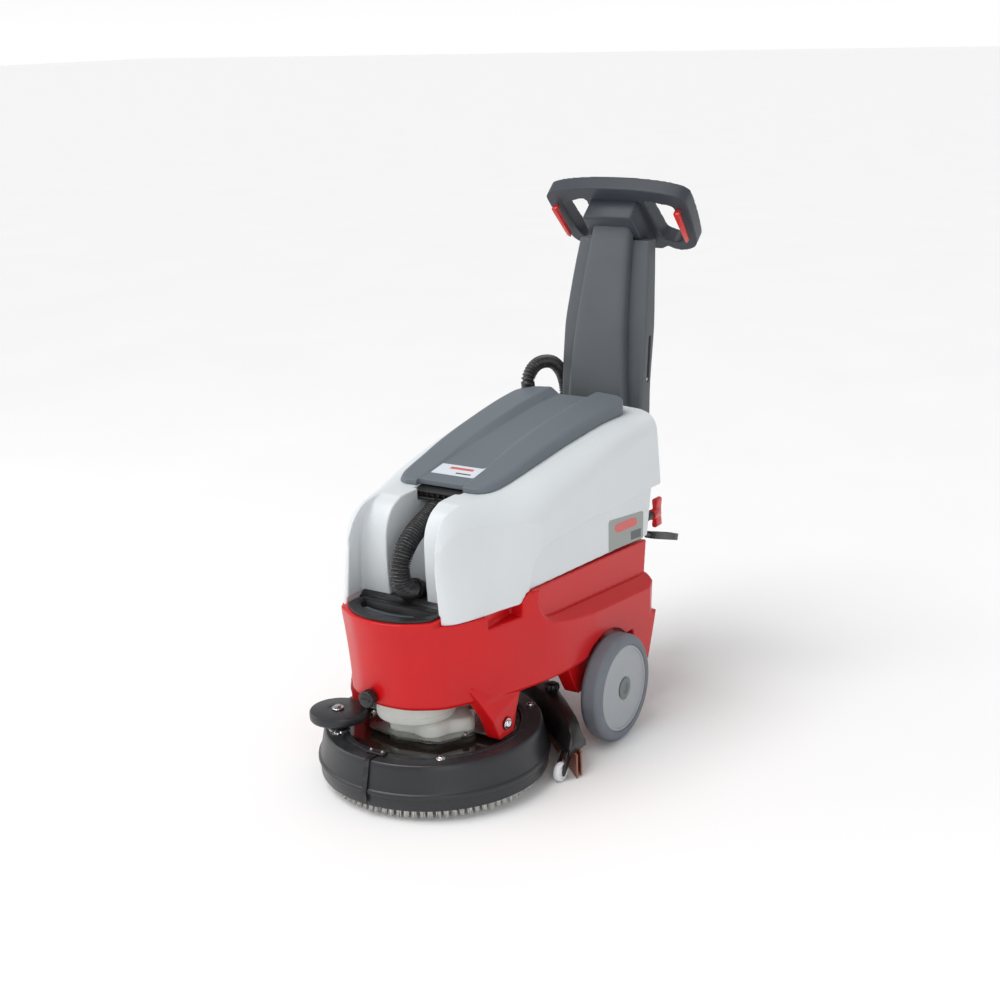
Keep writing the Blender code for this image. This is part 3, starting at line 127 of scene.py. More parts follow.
world = bpy.data.worlds.new("studio")
bpy.context.scene.world = world
world.use_nodes = True
sky = world.node_tree
tuned(sky.nodes["Background"], Color=(1, 1, 1, 1))
height_of = sky.nodes.new("ShaderNodeSeparateXYZ")
brightness = tuned(sky.nodes.new("ShaderNodeMapRange"), From_Min=0, From_Max=0.35, To_Min=1, To_Max=0.5)
sky.links.new(sky.nodes.new("ShaderNodeTexCoord").outputs["Generated"], height_of.inputs["Vector"])
sky.links.new(height_of.outputs["Z"], brightness.inputs["Value"])
sky.links.new(brightness.outputs["Result"], sky.nodes["Background"].inputs["Strength"])
bpy.context.scene.view_settings.view_transform = "Standard"

# ---- shapes -------------------------------------------------------------------------------------


def loft(rings, bm=None):
    """A closed skin through rings that hold the same number of points."""
    bm = bm or bmesh.new()
    loops = [[bm.verts.new(point) for point in ring] for ring in rings]
    count = len(loops[0])
    for a, b in zip(loops, loops[1:]):
        for i in range(count):
            j = (i + 1) % count
            bm.faces.new((a[i], a[j], b[j], b[i]))
    bm.faces.new(loops[0])
    bm.faces.new(loops[-1])
    return bm


def prism(outline, axis, low, high, bm=None):
    """An outline extruded along an axis. It holds (y, z), (x, z) or (x, y) for axis x, y or z."""
    order = {"x": (2, 0, 1), "y": (0, 2, 1), "z": (0, 1, 2)}[axis]
    rings = []
    for level in sorted((low, high)):
        rings.append([[(u, v, level)[i] for i in order] for u, v in outline])
    return loft(rings, bm)


def box(low, high):
    outline = [(low[0], low[1]), (high[0], low[1]), (high[0], high[1]), (low[0], high[1])]
    return prism(outline, "z", low[2], high[2])


def turned(profile, centre, axis="z", segments=48, bm=None):
    """A closed profile of (radius, height) points turned about an axis through centre."""
    bm = bm or bmesh.new()
    turns = [2 * math.pi * i / segments for i in range(segments)]
    rings = []
    for radius, height in profile:
        spots = [(radius * math.cos(t), radius * math.sin(t)) for t in turns]
        if radius < 1e-6:
            spots = [(0.0, 0.0)]
        ring = []
        for u, v in spots:
            point = {"z": (u, v, height), "x": (height, u, v), "y": (v, height, u)}[axis]
            ring.append(bm.verts.new(Vector(point) + Vector(centre)))
        rings.append(ring)
    for a, b in zip(rings, rings[1:] + rings[:1]):
        if len(a) == 1 and len(b) == 1:
            continue
        for i in range(segments):
            j = (i + 1) % segments
            corners = [a[i % len(a)], a[j % len(a)], b[j % len(b)], b[i % len(b)]]
            bm.faces.new(list(dict.fromkeys(corners)))
    return bm


def cylinder(radius, low, high, centre, axis="z", segments=40):
    low, high = min(low, high), max(low, high)
    return turned([(0, low), (radius, low), (radius, high), (0, high)], centre, axis, segments)


def mirrored(half):
    """A closed symmetric outline from its half at +X, listed from one middle point to the other."""
    other = [(-x, y) for x, y in reversed(half) if abs(x) > 1e-9]
    return list(half) + other


def flow(value, stations):
    """Smooth interpolation without overshoot in a list of (position, value) stations."""
    xs = [s[0] for s in stations]
    ys = [s[1] for s in stations]
    if value <= xs[0]:
        return ys[0]
    if value >= xs[-1]:
        return ys[-1]
    steps = [(ys[i + 1] - ys[i]) / (xs[i + 1] - xs[i]) for i in range(len(xs) - 1)]
    slopes = [steps[0]]
    for a, b in zip(steps, steps[1:]):
        slopes.append(2 * a * b / (a + b) if a * b > 0 else 0.0)
    slopes.append(steps[-1])
    i = max(k for k in range(len(xs) - 1) if xs[k] <= value)
    width = xs[i + 1] - xs[i]
    t = (value - xs[i]) / width
    low = (1 + 2 * t) * (1 - t) ** 2 * ys[i] + t * t * (3 - 2 * t) * ys[i + 1]
    return low + width * (t * (1 - t) ** 2 * slopes[i] - t * t * (1 - t) * slopes[i + 1])


def fair(points, steps=5, mirror_start=False):
    """A smooth open curve through flat or spatial points."""
    pts = [Vector(p) for p in points]
    before = 2 * pts[0] - pts[1]
    if mirror_start:
        before = Vector((-pts[1][0], *pts[1][1:]))
    pts = [before] + pts + [2 * pts[-1] - pts[-2]]
    out = []
    for a, b, c, d in zip(pts, pts[1:], pts[2:], pts[3:]):
        for i in range(steps):
            t = i / steps
            out.append(0.5 * (2 * b + (c - a) * t + (2 * a - 5 * b + 4 * c - d) * t * t
                              + (3 * b - a - 3 * c + d) * t ** 3))
    out.append(pts[-2])
    return [tuple(p) for p in out]


def even_path(points, spacing):
    """Smooth curve through the points, read at an even spacing."""
    fine = [Vector(p) for p in fair(points, 40)]
    total = sum((q - p).length for p, q in zip(fine, fine[1:]))
    count = max(4, round(total / spacing))
    path = [fine[0]]
    travelled = 0.0
    for p, q in zip(fine, fine[1:]):
        piece_length = (q - p).length
        while len(path) < count and travelled + piece_length >= len(path) * total / count:
            share = (len(path) * total / count - travelled) / piece_length
            path.append(p.lerp(q, share))
        travelled += piece_length
    path.append(fine[-1])
    return path


def sweep(path, radii, segments):
    """A tube along a path, with its own radius at each point, turned without twist."""
    rings = []
    side = None
    for i, spot in enumerate(path):
        ahead = path[min(i + 1, len(path) - 1)] - path[max(i - 1, 0)]
        ahead.normalize()
        if side is None:
            side = ahead.cross(Vector((1, 0, 0.1))).normalized()
        side = (side - ahead * side.dot(ahead)).normalized()
        other = ahead.cross(side)
        ring = []
        for k in range(segments):
            turn = 2 * math.pi * k / segments
            ring.append(spot + radii[i] * (math.cos(turn) * side + math.sin(turn) * other))
        rings.append(ring)
    return loft(rings)


def corrugated(points, radius, pitch, depth, plain_start, plain_end, segments):
    """A ribbed hose: rings at eighths of its pitch, with plain cuffs at its ends."""
    path = even_path(points, pitch / 8)
    total = (len(path) - 1) * pitch / 8
    radii = []
    for i in range(len(path)):
        at = i * pitch / 8
        if at < plain_start or total - at < plain_end:
            radii.append(radius)
            continue
        wave = math.cos(2 * math.pi * i / 8)
        radii.append(radius - depth * (0.5 - 0.5 * math.copysign(abs(wave) ** 0.7, wave)))
    return sweep(path, radii, segments)


# ---- pieces -------------------------------------------------------------------------------------


def raw(name, bm):
    bmesh.ops.recalc_face_normals(bm, faces=bm.faces)
    mesh = bpy.data.meshes.new(name)
    bm.to_mesh(mesh)
    bm.free()
    obj = bpy.data.objects.new(name, mesh)
    bpy.context.scene.collection.objects.link(obj)
    return obj


def settle(obj):
    """Apply an object's modifiers."""
    graph = bpy.context.evaluated_depsgraph_get()
    mesh = bpy.data.meshes.new_from_object(obj.evaluated_get(graph), depsgraph=graph)
    obj.modifiers.clear()
    obj.data = mesh


def carve(obj, tools, solver="EXACT"):
    """Apply a list of (operation, shape) to an object, in order."""
    made = []
    for operation, bm in tools:
        tool = raw(obj.name + "_tool", bm)
        made.append(tool)
        change = obj.modifiers.new("carve", "BOOLEAN")
        change.operation = operation
        change.solver = solver
        change.object = tool
    settle(obj)
    for tool in made:
        bpy.data.objects.remove(tool, do_unlink=True)


def remesh(obj, voxel, rounds):
    """Even skin over a shape, with its edges rounded by a number of smoothing rounds."""
    skin = obj.modifiers.new("skin", "REMESH")
    skin.mode = "VOXEL"
    skin.voxel_size = voxel
    ease = obj.modifiers.new("ease", "SMOOTH")
    ease.factor = 0.5
    ease.iterations = rounds
    settle(obj)


def bevel(obj, width, segments=3, angle=35):
    change = obj.modifiers.new("bevel", "BEVEL")
    change.width = width
    change.segments = segments
    change.limit_method = "ANGLE"
    change.angle_limit = math.radians(angle)
    change.harden_normals = True
    settle(obj)


def place(obj, mat, body, nodes=(), slot=None, angle=None):
    """Finish a piece: material, shading, body to ride on, CAD nodes it stands for. The finish slot is not
    used.
    """
    obj.data.transform(SHIFT)
    obj.data.materials.clear()
    obj.data.materials.append(mat)
    obj.data.shade_smooth()
    if angle:
        obj.data.set_sharp_from_angle(angle=math.radians(angle))
    if body:
        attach(obj, body)
    if nodes:
        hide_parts(*nodes)


CUT, JOIN, KEEP = "DIFFERENCE", "UNION", "INTERSECT"

# ---- materials ----------------------------------------------------------------------------------


def linear(rgb):
    """Linear colour of an sRGB triple of 0 to 255."""
    out = []
    for c in rgb:
        c /= 255
        out.append(c / 12.92 if c <= 0.04045 else ((c + 0.055) / 1.055) ** 2.4)
    return (*out, 1.0)


def material(name, rgb, rough, spread, tint, grain, bump, broad, metallic=0.0, coat=0.0, wear_and_sheen=None,
             waves=0.0):
    """Principled shader whose colour, roughness and surface vary: broad patches, fine grain, and a lighter
    colour on raised edges that is wear on most parts and a painted highlight on the hose.
    """
    mat = bpy.data.materials.new(name)
    mat.use_nodes = True
    tree = mat.node_tree
    shader = tuned(tree.nodes["Principled BSDF"], Metallic=metallic, Coat_Weight=coat, Coat_Roughness=0.12)
    mat.diffuse_color = colour = linear(rgb)
    add, link = tree.nodes.new, tree.links.new
    coords = add("ShaderNodeTexCoord").outputs["Object"]

    def noise_of(scale, detail, roughness=0.5):
        tex = tuned(add("ShaderNodeTexNoise"), Scale=scale, Detail=detail, Roughness=roughness)
        link(coords, tex.inputs["Vector"])
        return tex.outputs["Fac"]

    def ranged(value, low, high, to_low, to_high):
        node = tuned(add("ShaderNodeMapRange"), From_Min=low, From_Max=high, To_Min=to_low, To_Max=to_high)
        link(value, node.inputs["Value"])
        return node.outputs["Result"]

    patches = noise_of(broad, 3)
    fine = noise_of(grain, 2)
    # Colour: slow drift between two close shades, and a lighter colour on raised edges: wear on most parts,
    # a painted highlight on the crests of the hose's ribs.
    shade = add("ShaderNodeMix")
    shade.data_type = "RGBA"
    tuned(shade, A=[min(1.0, c * (1 - tint)) for c in colour[:3]] + [1.0],
          B=[min(1.0, c * (1 + tint)) for c in colour[:3]] + [1.0])
    link(ranged(patches, 0.3, 0.7, 0.0, 1.0), shade.inputs["Factor"])
    result = shade.outputs["Result"]
    # Raised edges take the lighter edge colour: wear on most parts, a painted highlight on the hose's rib
    # crests.
    if wear_and_sheen:
        edge = add("ShaderNodeNewGeometry").outputs["Pointiness"]
        mask = add("ShaderNodeMath")
        mask.operation = "MULTIPLY"
        link(ranged(edge, 0.53, 0.6, 0.0, 0.55), mask.inputs[0])
        link(ranged(noise_of(70, 4, 0.65), 0.45, 0.65, 0.0, 1.0), mask.inputs[1])
        wear_and_sheen_mix = add("ShaderNodeMix")
        wear_and_sheen_mix.data_type = "RGBA"
        tuned(wear_and_sheen_mix, B=linear(wear_and_sheen))
        link(mask.outputs[0], wear_and_sheen_mix.inputs["Factor"])
        link(result, wear_and_sheen_mix.inputs["A"])
        result = wear_and_sheen_mix.outputs["Result"]
    link(result, shader.inputs["Base Color"])
    # Roughness: patches and grain together.
    blend = add("ShaderNodeMath")
    blend.operation = "ADD"
    link(ranged(patches, 0.3, 0.7, rough - spread, rough + spread), blend.inputs[0])
    link(ranged(fine, 0.35, 0.65, -spread * 0.5, spread * 0.5), blend.inputs[1])
    link(blend.outputs[0], shader.inputs["Roughness"])
    # Surface: grain of the mould, and a slow wave where the part is blown or rotomoulded.
    height = tuned(add("ShaderNodeBump"), Strength=min(1.0, bump * 10), Distance=0.0004)
    link(fine, height.inputs["Height"])
    if waves:
        slow = tuned(add("ShaderNodeBump"), Strength=waves, Distance=0.004)
        link(noise_of(14, 1), slow.inputs["Height"])
        link(slow.outputs["Normal"], height.inputs["Normal"])
    link(height.outputs["Normal"], shader.inputs["Normal"])
    return mat


RED = material("red_rotomoulded", (200, 14, 20), 0.36, 0.04, 0.05, 700, 0.012, 6, coat=0.1,
               wear_and_sheen=(228, 104, 104), waves=0.08)
PALE = material("pale_rotomoulded", (216, 221, 224), 0.38, 0.04, 0.02, 800, 0.012, 6,
                wear_and_sheen=(225, 228, 230), waves=0.1)
SLATE = material("slate_grained", (104, 112, 119), 0.46, 0.05, 0.04, 1500, 0.05, 8, wear_and_sheen=(150, 156, 162))
STONE = material("column_grained", (88, 92, 96), 0.5, 0.05, 0.05, 1500, 0.05, 8, wear_and_sheen=(128, 132, 136))
DUSK = material("dark_slate_grained", (62, 66, 73), 0.42, 0.05, 0.06, 1500, 0.05, 10, wear_and_sheen=(92, 98, 104))
RING = material("deck_charcoal", (34, 36, 39), 0.34, 0.06, 0.08, 1100, 0.04, 12, wear_and_sheen=(72, 76, 82))
BLACK = material("black_satin", (28, 28, 29), 0.36, 0.07, 0.15, 1200, 0.04, 15, wear_and_sheen=(60, 60, 62))
# The hose's light grey edge colour is a painted highlight on its rib crests, not wear.
HOSE = material("hose_black", (38, 38, 40), 0.27, 0.06, 0.15, 600, 0.04, 30, wear_and_sheen=(150, 150, 150))
RUBBER = material("black_rubber", (30, 30, 31), 0.62, 0.08, 0.15, 900, 0.06, 25)
GLOSS = material("brown_black_gloss", (36, 28, 24), 0.12, 0.06, 0.25, 500, 0.01, 10, coat=0.5)
CAST = material("cast_aluminium", (222, 226, 220), 0.5, 0.08, 0.07, 420, 0.12, 16, wear_and_sheen=(212, 214, 210))
STEEL = material("zinc_steel", (176, 176, 174), 0.3, 0.08, 0.06, 350, 0.04, 20, metallic=1.0)
CHROME = material("bright_chrome", (214, 214, 216), 0.14, 0.05, 0.04, 300, 0.01, 30, metallic=1.0)
TYRE = material("tyre_grey", (110, 116, 124), 0.62, 0.06, 0.07, 500, 0.08, 22, wear_and_sheen=(150, 155, 160))
DISC = material("wheel_disc_grey", (160, 164, 169), 0.44, 0.05, 0.03, 900, 0.03, 10, wear_and_sheen=(185, 188, 192))
CAP = material("hub_cap_grey", (104, 112, 112), 0.38, 0.05, 0.05, 900, 0.03, 12)
BRISTLE = material("nylon_bristle", (255, 250, 242), 0.55, 0.08, 0.12, 260, 0.1, 40)
BLADE = material("gum_rubber", (152, 94, 74), 0.55, 0.08, 0.16, 320, 0.08, 30)
NYLON = material("white_nylon", (226, 226, 230), 0.32, 0.05, 0.03, 500, 0.02, 20)
SIGNAL = material("signal_red", (206, 40, 38), 0.3, 0.05, 0.05, 700, 0.02, 20, coat=0.2)
LABEL = material("label_film", (216, 222, 230), 0.28, 0.03, 0.02, 900, 0.01, 12)
PLATE = material("rating_plate", (150, 156, 152), 0.4, 0.04, 0.03, 900, 0.02, 12)
MARK = material("printed_red", (208, 96, 92), 0.4, 0.04, 0.05, 900, 0.01, 20)
MARK_DARK = material("printed_dark", (84, 88, 88), 0.4, 0.04, 0.05, 900, 0.01, 20)
BATTERY = material("battery_case", (44, 45, 48), 0.45, 0.06, 0.1, 900, 0.04, 14)

LOW_SHEEN = 0.3
for moulded in (RED, SLATE, STONE, DUSK):
    tuned(moulded.node_tree.nodes["Principled BSDF"], Specular_IOR_Level=LOW_SHEEN)

# ---- base tank ----------------------------------------------------------------------------------

BELLY_Z = 0.2
RIM_Z = 0.388
RIM_BACK = 0.397
LOBE_SEAM = 0.378
STEP_Y = 0.085
SIDE_SEAM_FRONT = 0.4
SIDE_SEAM_REAR = 0.366
BASE_REAR = 0.576
LEG_X = 0.183
ARCH_GAP = 0.006
ARCH_X = 0.2003
PIVOT_R = 0.0075
PIVOT_SINK_R = 0.014
ELBOW_SLOT_X = 0.0378
SHELL_VOXEL = 0.0021
WHEEL_Y = 0.328
WHEEL_R = 0.116
TILT = (0, -0.005, 0.146)
NOSE_TOP = [(0, -0.19), (0.05, -0.181), (0.089, -0.159), (0.112, -0.142), (0.13, -0.119)]
NOSE_BELLY = [(0, -0.161), (0.05, -0.155), (0.09, -0.134), (0.116, -0.112), (0.14, -0.071)]
FLANK_TOP = [(0.148, -0.082), (0.165, -0.042), (0.181, 0.03), (0.206, 0.11), (0.225, 0.23)]
FLANK_BELLY = [(0.164, -0.035), (0.19, 0.03), (0.21, 0.1), (0.223, 0.18), (0.225, 0.3)]
REAR_TOP = [(0.225, 0.4), (0.225, 0.53), (0.214, 0.568), (0.1, 0.574), (0, BASE_REAR)]
REAR_BELLY = [(0.225, 0.4), (0.225, 0.52), (0.214, 0.548), (0.1, 0.553), (0, 0.555)]
FILLER = [(0, -0.163), (0.045, -0.155), (0.085, -0.13), (0.094, -0.112), (0.094, -0.092), (0, -0.092)]


def seam(y):
    """Height of the line between the base tank and the recovery tank, behind the step."""
    return flow(y, [(STEP_Y, SIDE_SEAM_FRONT), (BASE_REAR, SIDE_SEAM_REAR)])


def base_ring(z):
    """Plan outline of the base tank at a height."""
    flare = max(0.0, min(1.0, (z - BELLY_Z) / (RIM_Z - BELLY_Z))) ** 1.5
    tops = fair(NOSE_TOP + FLANK_TOP, 5, True) + REAR_TOP
    bellies = fair(NOSE_BELLY + FLANK_BELLY, 5, True) + REAR_BELLY
    half = []
    for (xt, yt), (xb, yb) in zip(tops, bellies):
        half.append((xb + (xt - xb) * flare, yb + (yt - yb) * flare))
    return [(x, y, z) for x, y in mirrored(half)]


def shrink(ring, amount):
    pulled = []
    for x, y, z in ring:
        pulled.append((x - math.copysign(amount, x) * (abs(x) > amount), y * 0.99 + 0.002, z))
    return pulled


def make_base_tank():
    levels = [BELLY_Z + 0.008 + 0.202 * i / 12 for i in range(13)]
    obj = raw("base_shell", loft([shrink(base_ring(BELLY_Z), 0.006)] + [base_ring(z) for z in levels]))
    front_leg = [(0.19, 0.215), (0.234, 0.14), (0.247, 0.12), (0.284, 0.12), (0.335, 0.17),
                 (0.35, 0.215)]
    rear_leg = [(0.44, 0.215), (0.46, 0.112), (0.515, 0.11), (0.53, 0.15), (0.5535, 0.215)]
    tools = []
    for side in (-1, 1):
        tools.append((JOIN, prism(front_leg, "x", side * 0.165, side * 0.2008)))
        tools.append((JOIN, prism(rear_leg, "x", side * 0.165, side * 0.2245)))
        leg = []
        for z, front, back, inner, front_x, back_x in (
                (0.12, -0.03, 0.017, 0.15, LEG_X, LEG_X), (0.128, -0.034, 0.021, 0.15, LEG_X, LEG_X),
                (0.165, -0.046, 0.031, 0.145, 0.178, 0.1845), (0.2, -0.06, 0.042, 0.13, 0.162, 0.1865),
                (0.235, -0.075, 0.053, 0.12, 0.144, 0.19)):
            leg.append([(side * inner, front, z), (side * front_x, front, z),
                        (side * back_x, back, z), (side * inner, back, z)])
        tools.append((JOIN, loft(leg)))
    nose_top = [(-0.25, RIM_Z), (-0.079, RIM_Z), (-0.071, RIM_BACK), (STEP_Y - 0.005, RIM_BACK),
                (STEP_Y, SIDE_SEAM_FRONT)]
    rear_top = [(0.62, seam(0.62)), (0.62, 0.45), (-0.25, 0.45)]
    tools.append((CUT, prism(nose_top + rear_top, "x", -0.3, 0.3)))
    seat = [(-0.25, LOBE_SEAM), (STEP_Y - 0.03, LOBE_SEAM), (STEP_Y - 0.012, RIM_BACK),
            (STEP_Y - 0.012, 0.42), (-0.25, 0.42)]
    for side in (-1, 1):
        tools.append((CUT, prism(seat, "x", side * 0.1115, side * 0.3)))
        inner = [(0.108, 0.42), (0.096, 0.372), (0.114, 0.343), (0.15, 0.329), (0.306, 0.316),
                 (0.62, 0.291)]
        outer = [(0.086, 0.42), (0.076, 0.362), (0.1, 0.322), (0.143, 0.307), (0.306, 0.289),
                 (0.62, 0.264)]
        rings = []
        for x, line in ((0.192, inner), (0.199, inner), (0.229, outer)):
            rings.append([(side * x, y, z) for y, z in fair(line, 6) + [(0.62, 0.42)]])
        tools.append((CUT, loft(rings)))
        recess = [(-0.036, 0.3525), (0.054, 0.3545), (0.058, 0.4), (-0.036, 0.4)]
        tools.append((CUT, prism(recess, "x", side * 0.158, side * 0.3)))
        arch = cylinder(WHEEL_R + ARCH_GAP, side * ARCH_X, side * 0.3, (0, WHEEL_Y, WHEEL_R), "x", 64)
        tools.append((CUT, arch))
        tools.append((CUT, cylinder(PIVOT_R, side * 0.14, side * 0.2, TILT, "x", 24)))
        tools.append((CUT, cylinder(PIVOT_SINK_R, side * (LEG_X - 0.004), side * 0.2, TILT, "x", 24)))
    # Filler, slot for the elbow, battery bay, duct of the elbow, brush motor's pocket, filter's hole.
    tools.append((CUT, prism(mirrored(FILLER), "z", 0.33, 0.42)))
    tools.append((CUT, box((-ELBOW_SLOT_X, -0.09, RIM_Z), (ELBOW_SLOT_X, -0.043, 0.42))))
    tools.append((CUT, box((-0.136, 0.046, 0.208), (0.136, 0.53, 0.45))))
    tools.append((CUT, box((-0.024, -0.046, 0.3), (0.024, 0.055, 0.45))))
    tools.append((CUT, cylinder(0.094, 0.15, 0.265, (-0.004, -0.05, 0), "z", 64)))
    tools.append((CUT, cylinder(0.01, -0.2, -0.12, (-0.03, 0, 0.219), "y", 24)))
    carve(obj, tools, "MANIFOLD")
    remesh(obj, SHELL_VOXEL, 4)
    place(obj, RED, "chassis", ["base_tank"], "red_tank")


make_base_tank()

# ---- recovery tank ------------------------------------------------------------------------------

WAIST_X = 0.188
TANK_REAR = 0.5775
TANK_X = 0.205
GAP = 0.0003
GROOVE_X = 0.045
NOTCH_X = 0.056
LID_WALL = 0.0045
LID_VOXEL = 0.0016
TANK_TOP = [(-0.128, 0.512), (-0.119, 0.532), (-0.11, 0.552), (-0.095, 0.57), (-0.07, 0.583),
            (-0.03, 0.589), (0.05, 0.592), (0.1, 0.597), (0.2, 0.613), (0.35, 0.636), (0.5, 0.6505),
            (0.6, 0.652)]
TANK_LOW = [(-0.1, 0.38), (-0.024, 0.4), (0.024, 0.436), (0.06, 0.475), (0.114, 0.512),
            (0.16, 0.53), (0.3, 0.56), (0.45, 0.59), (0.6, 0.605)]
TANK_WIDE = [(-0.13, 0.122), (-0.118, 0.13), (-0.106, 0.14), (-0.08, 0.156), (-0.04, 0.172),
             (0.01, 0.184), (0.08, 0.196), (0.16, 0.201), (0.25, TANK_X)]
LID_TOP = [(0.05, 0.603), (0.1, 0.612), (0.152, 0.622), (0.234, 0.64), (0.358, 0.66),
           (0.486, 0.676), (0.59, 0.683)]
LID_WIDE = [(0.05, 0.082), (0.056, 0.096), (0.068, 0.107), (0.09, 0.115), (0.15, 0.121), (0.585, 0.144)]


# Plan outline of the lobes at their foot: x, y and how much of the inward lean applies there.
LOBE_PLAN = [(0, -0.121, 0), (0.117, -0.121, 1), (0.129, -0.112, 1), (0.141, -0.092, 1),
             (0.156, -0.052, 1), (0.169, 0.003, 0.8), (0.186, 0.06, 0.4), (0.203, 0.13, 0.1)]
LOBE_PLAN += [(0.215, 0.25, 0)]
LOBE_LEAN = 0.13


def tank_section(y):
    """Cross-section of the upper tank: flat under the lid, then a shoulder that rounds down."""
    top = flow(y, TANK_TOP)
    low = flow(y, TANK_LOW)
    wide = flow(y, TANK_WIDE)
    inner = flow(y, [(-0.1, 0.085), (0.2, 0.115), (0.6, 0.13)])
    power = flow(y, [(-0.1, 2.0), (0.1, 2.1), (0.6, 2.8)])
    half = [(0, top)]
    for i in range(19):
        turn = math.pi / 2 * i / 18
        x = inner + (wide - inner) * math.sin(turn) ** (2 / power)
        half.append((x, low + (top - low) * max(0.0, math.cos(turn)) ** (2 / power)))
    half.append((wide, 0.37))
    half.append((0, 0.37))
    return [(x, y, z) for x, z in mirrored(half)]


def rear_bow(x, z):
    """How far back the upper tank's rear wall lies."""
    return 0.637 - 0.6 * x * x + (0.65 - z) * 0.13 - 0.022 * (abs(x) / TANK_X) ** 6


def make_recovery_tank():
    stations = [-0.128 + 0.828 * (i / 70) for i in range(71)]
    obj = raw("recovery_shell", loft([tank_section(y) for y in stations]))
    rings = []
    for z in (0.36, 0.503, 0.58, 0.64, 0.72):
        front = fair([(x - LOBE_LEAN * (z - 0.38) * lean, y) for x, y, lean in LOBE_PLAN[1:]], 4)
        front = [(0, -0.121)] + front
        rear = [(x, rear_bow(x, z)) for x in (0.206, 0.203, 0.195, 0.18, 0.15, 0.1, 0.05, 0)]
        rings.append([(x, y, z) for x, y in mirrored(front + [(0.215, 0.57)] + rear)])
    tools = [(KEEP, loft(rings))]
    crease = fair([(0.062, 0.36), (0.08, 0.405), (0.098, 0.451), (0.12, 0.47), (0.15, 0.48),
                   (0.345, 0.488), (0.72, 0.486)], 6)
    for side in (-1, 1):
        deep = [(side * WAIST_X, y, z) for y, z in crease + [(0.72, 0.36)]]
        wide = [(side * 0.24, y - 0.006, z + 0.007) for y, z in crease + [(0.74, 0.36)]]
        tools.append((CUT, loft([deep, wide])))
    overhang = [(TANK_REAR, 0.35), (TANK_REAR, 0.37), (0.6, 0.487), (0.8, 0.487), (0.8, 0.35)]
    tools.append((CUT, prism(overhang, "x", -0.3, 0.3)))
    under = [(-0.25, 0.35), (-0.25, LOBE_SEAM + GAP), (STEP_Y - 0.03, LOBE_SEAM + GAP),
             (STEP_Y - 0.0135, RIM_BACK + 2 * GAP), (STEP_Y - 0.0045, RIM_BACK + 2 * GAP),
             (STEP_Y - 0.0005, SIDE_SEAM_FRONT + 2 * GAP), (0.75, seam(0.75) + GAP), (0.75, 0.35)]
    tools.append((CUT, prism(under, "x", -0.3, 0.3)))
    tools.append((CUT, box((-0.113, -0.2, 0.35), (0.113, STEP_Y - 0.004, RIM_BACK + 0.0008))))
    tools.append((CUT, box((-0.15, 0.03, 0.35), (0.15, 0.545, 0.404))))
    recess = [(-0.2, 0.35)] + fair([(-0.064, 0.35), (-0.07, 0.43), (-0.073, 0.49), (-0.069, 0.54),
                                    (-0.049, 0.572), (-0.02, 0.588),
                                    (0.03, 0.61)], 5) + [(-0.2, 0.65)]
    # The recess between the lobes narrows above a level, as the lobes lean in.
    rings = []
    for side in (-1, 1):
        rings.append([(side * (0.113 - 0.11 * max(0.0, z - 0.42)), y, z) for y, z in recess])
    tools.append((CUT, loft(rings)))
    groove = [(-0.2, 0.35)] + fair([(0.008, 0.35), (0.004, 0.46), (0.012, 0.5), (0.04, 0.522),
                                    (0.092, 0.5325)], 5) + [(0.092, 0.65), (-0.2, 0.65)]
    # Groove of the front hose, seat of the outlet, room for dirty water, mouth under the lid, bores.
    tools.append((CUT, prism(groove, "x", -GROOVE_X, GROOVE_X)))
    tools.append((CUT, box((-NOTCH_X, 0.04, 0.566), (NOTCH_X, 0.092, 0.65))))
    space = [(0.11, 0.412), (0.555, 0.412), (0.56, 0.5), (0.6, 0.505), (0.6, 0.625), (0.35, 0.612),
             (0.11, 0.565)]
    tools.append((CUT, prism(space, "x", -0.165, 0.165)))
    mouth = mirrored([(0, 0.11), (0.08, 0.11), (0.092, 0.13), (0.108, 0.5), (0.1, 0.526),
                      (0, 0.526)])
    tools.append((CUT, prism(mouth, "z", 0.55, 0.7)))
    tools.append((CUT, cylinder(0.008, 0.6, 0.7, (-0.137, 0.6105, 0), "z", 24)))
    tools.append((CUT, cylinder(0.009, 0.54, 0.6, (0.165, 0, 0.402), "y", 24)))
    carve(obj, tools, "MANIFOLD")
    remesh(obj, SHELL_VOXEL, 5)
    place(obj, PALE, "recovery", ["recovery_tank"], "light_tank")


make_recovery_tank()


def lid_surface(y):
    """Half profile of the lid's top at y: flat valley, its sloping side, crest and outer edge."""
    top = flow(y, LID_TOP)
    wide = flow(y, LID_WIDE)
    rise = flow(y, [(0.05, 0.0005), (0.15, 0.002), (0.35, 0.0045), (0.585, 0.006)])
    depth = flow(y, [(0.05, 0.0005), (0.15, 0.0015), (0.35, 0.0045), (0.585, 0.0085)])
    crest = flow(y, [(0.05, 0.06), (0.15, 0.058), (0.585, 0.06)])
    foot = flow(y, [(0.05, 0.054), (0.15, 0.05), (0.3, 0.038), (0.585, 0.038)])
    return [(0, top - depth), (foot, top - depth), (crest - 0.003, top + rise * 0.8),
            (crest, top + rise), (crest + 0.003, top + rise), (wide - 0.012, top + 0.001),
            (wide - 0.005, top - 0.001), (wide, top - 0.0075)]


def lid_section(y, inset):
    """Closed cross-section of the lid, or of the hollow inside it when inset."""
    low = flow(y, TANK_TOP) + 0.0005 - 3 * inset
    surface = [(max(0, x - inset), z - inset) for x, z in reversed(lid_surface(y))]
    wide = surface[0][0]
    half = [(0, low), (wide + (0.0012 if not inset else 0), low)] + surface
    return [(x, y, z) for x, z in mirrored(half)]


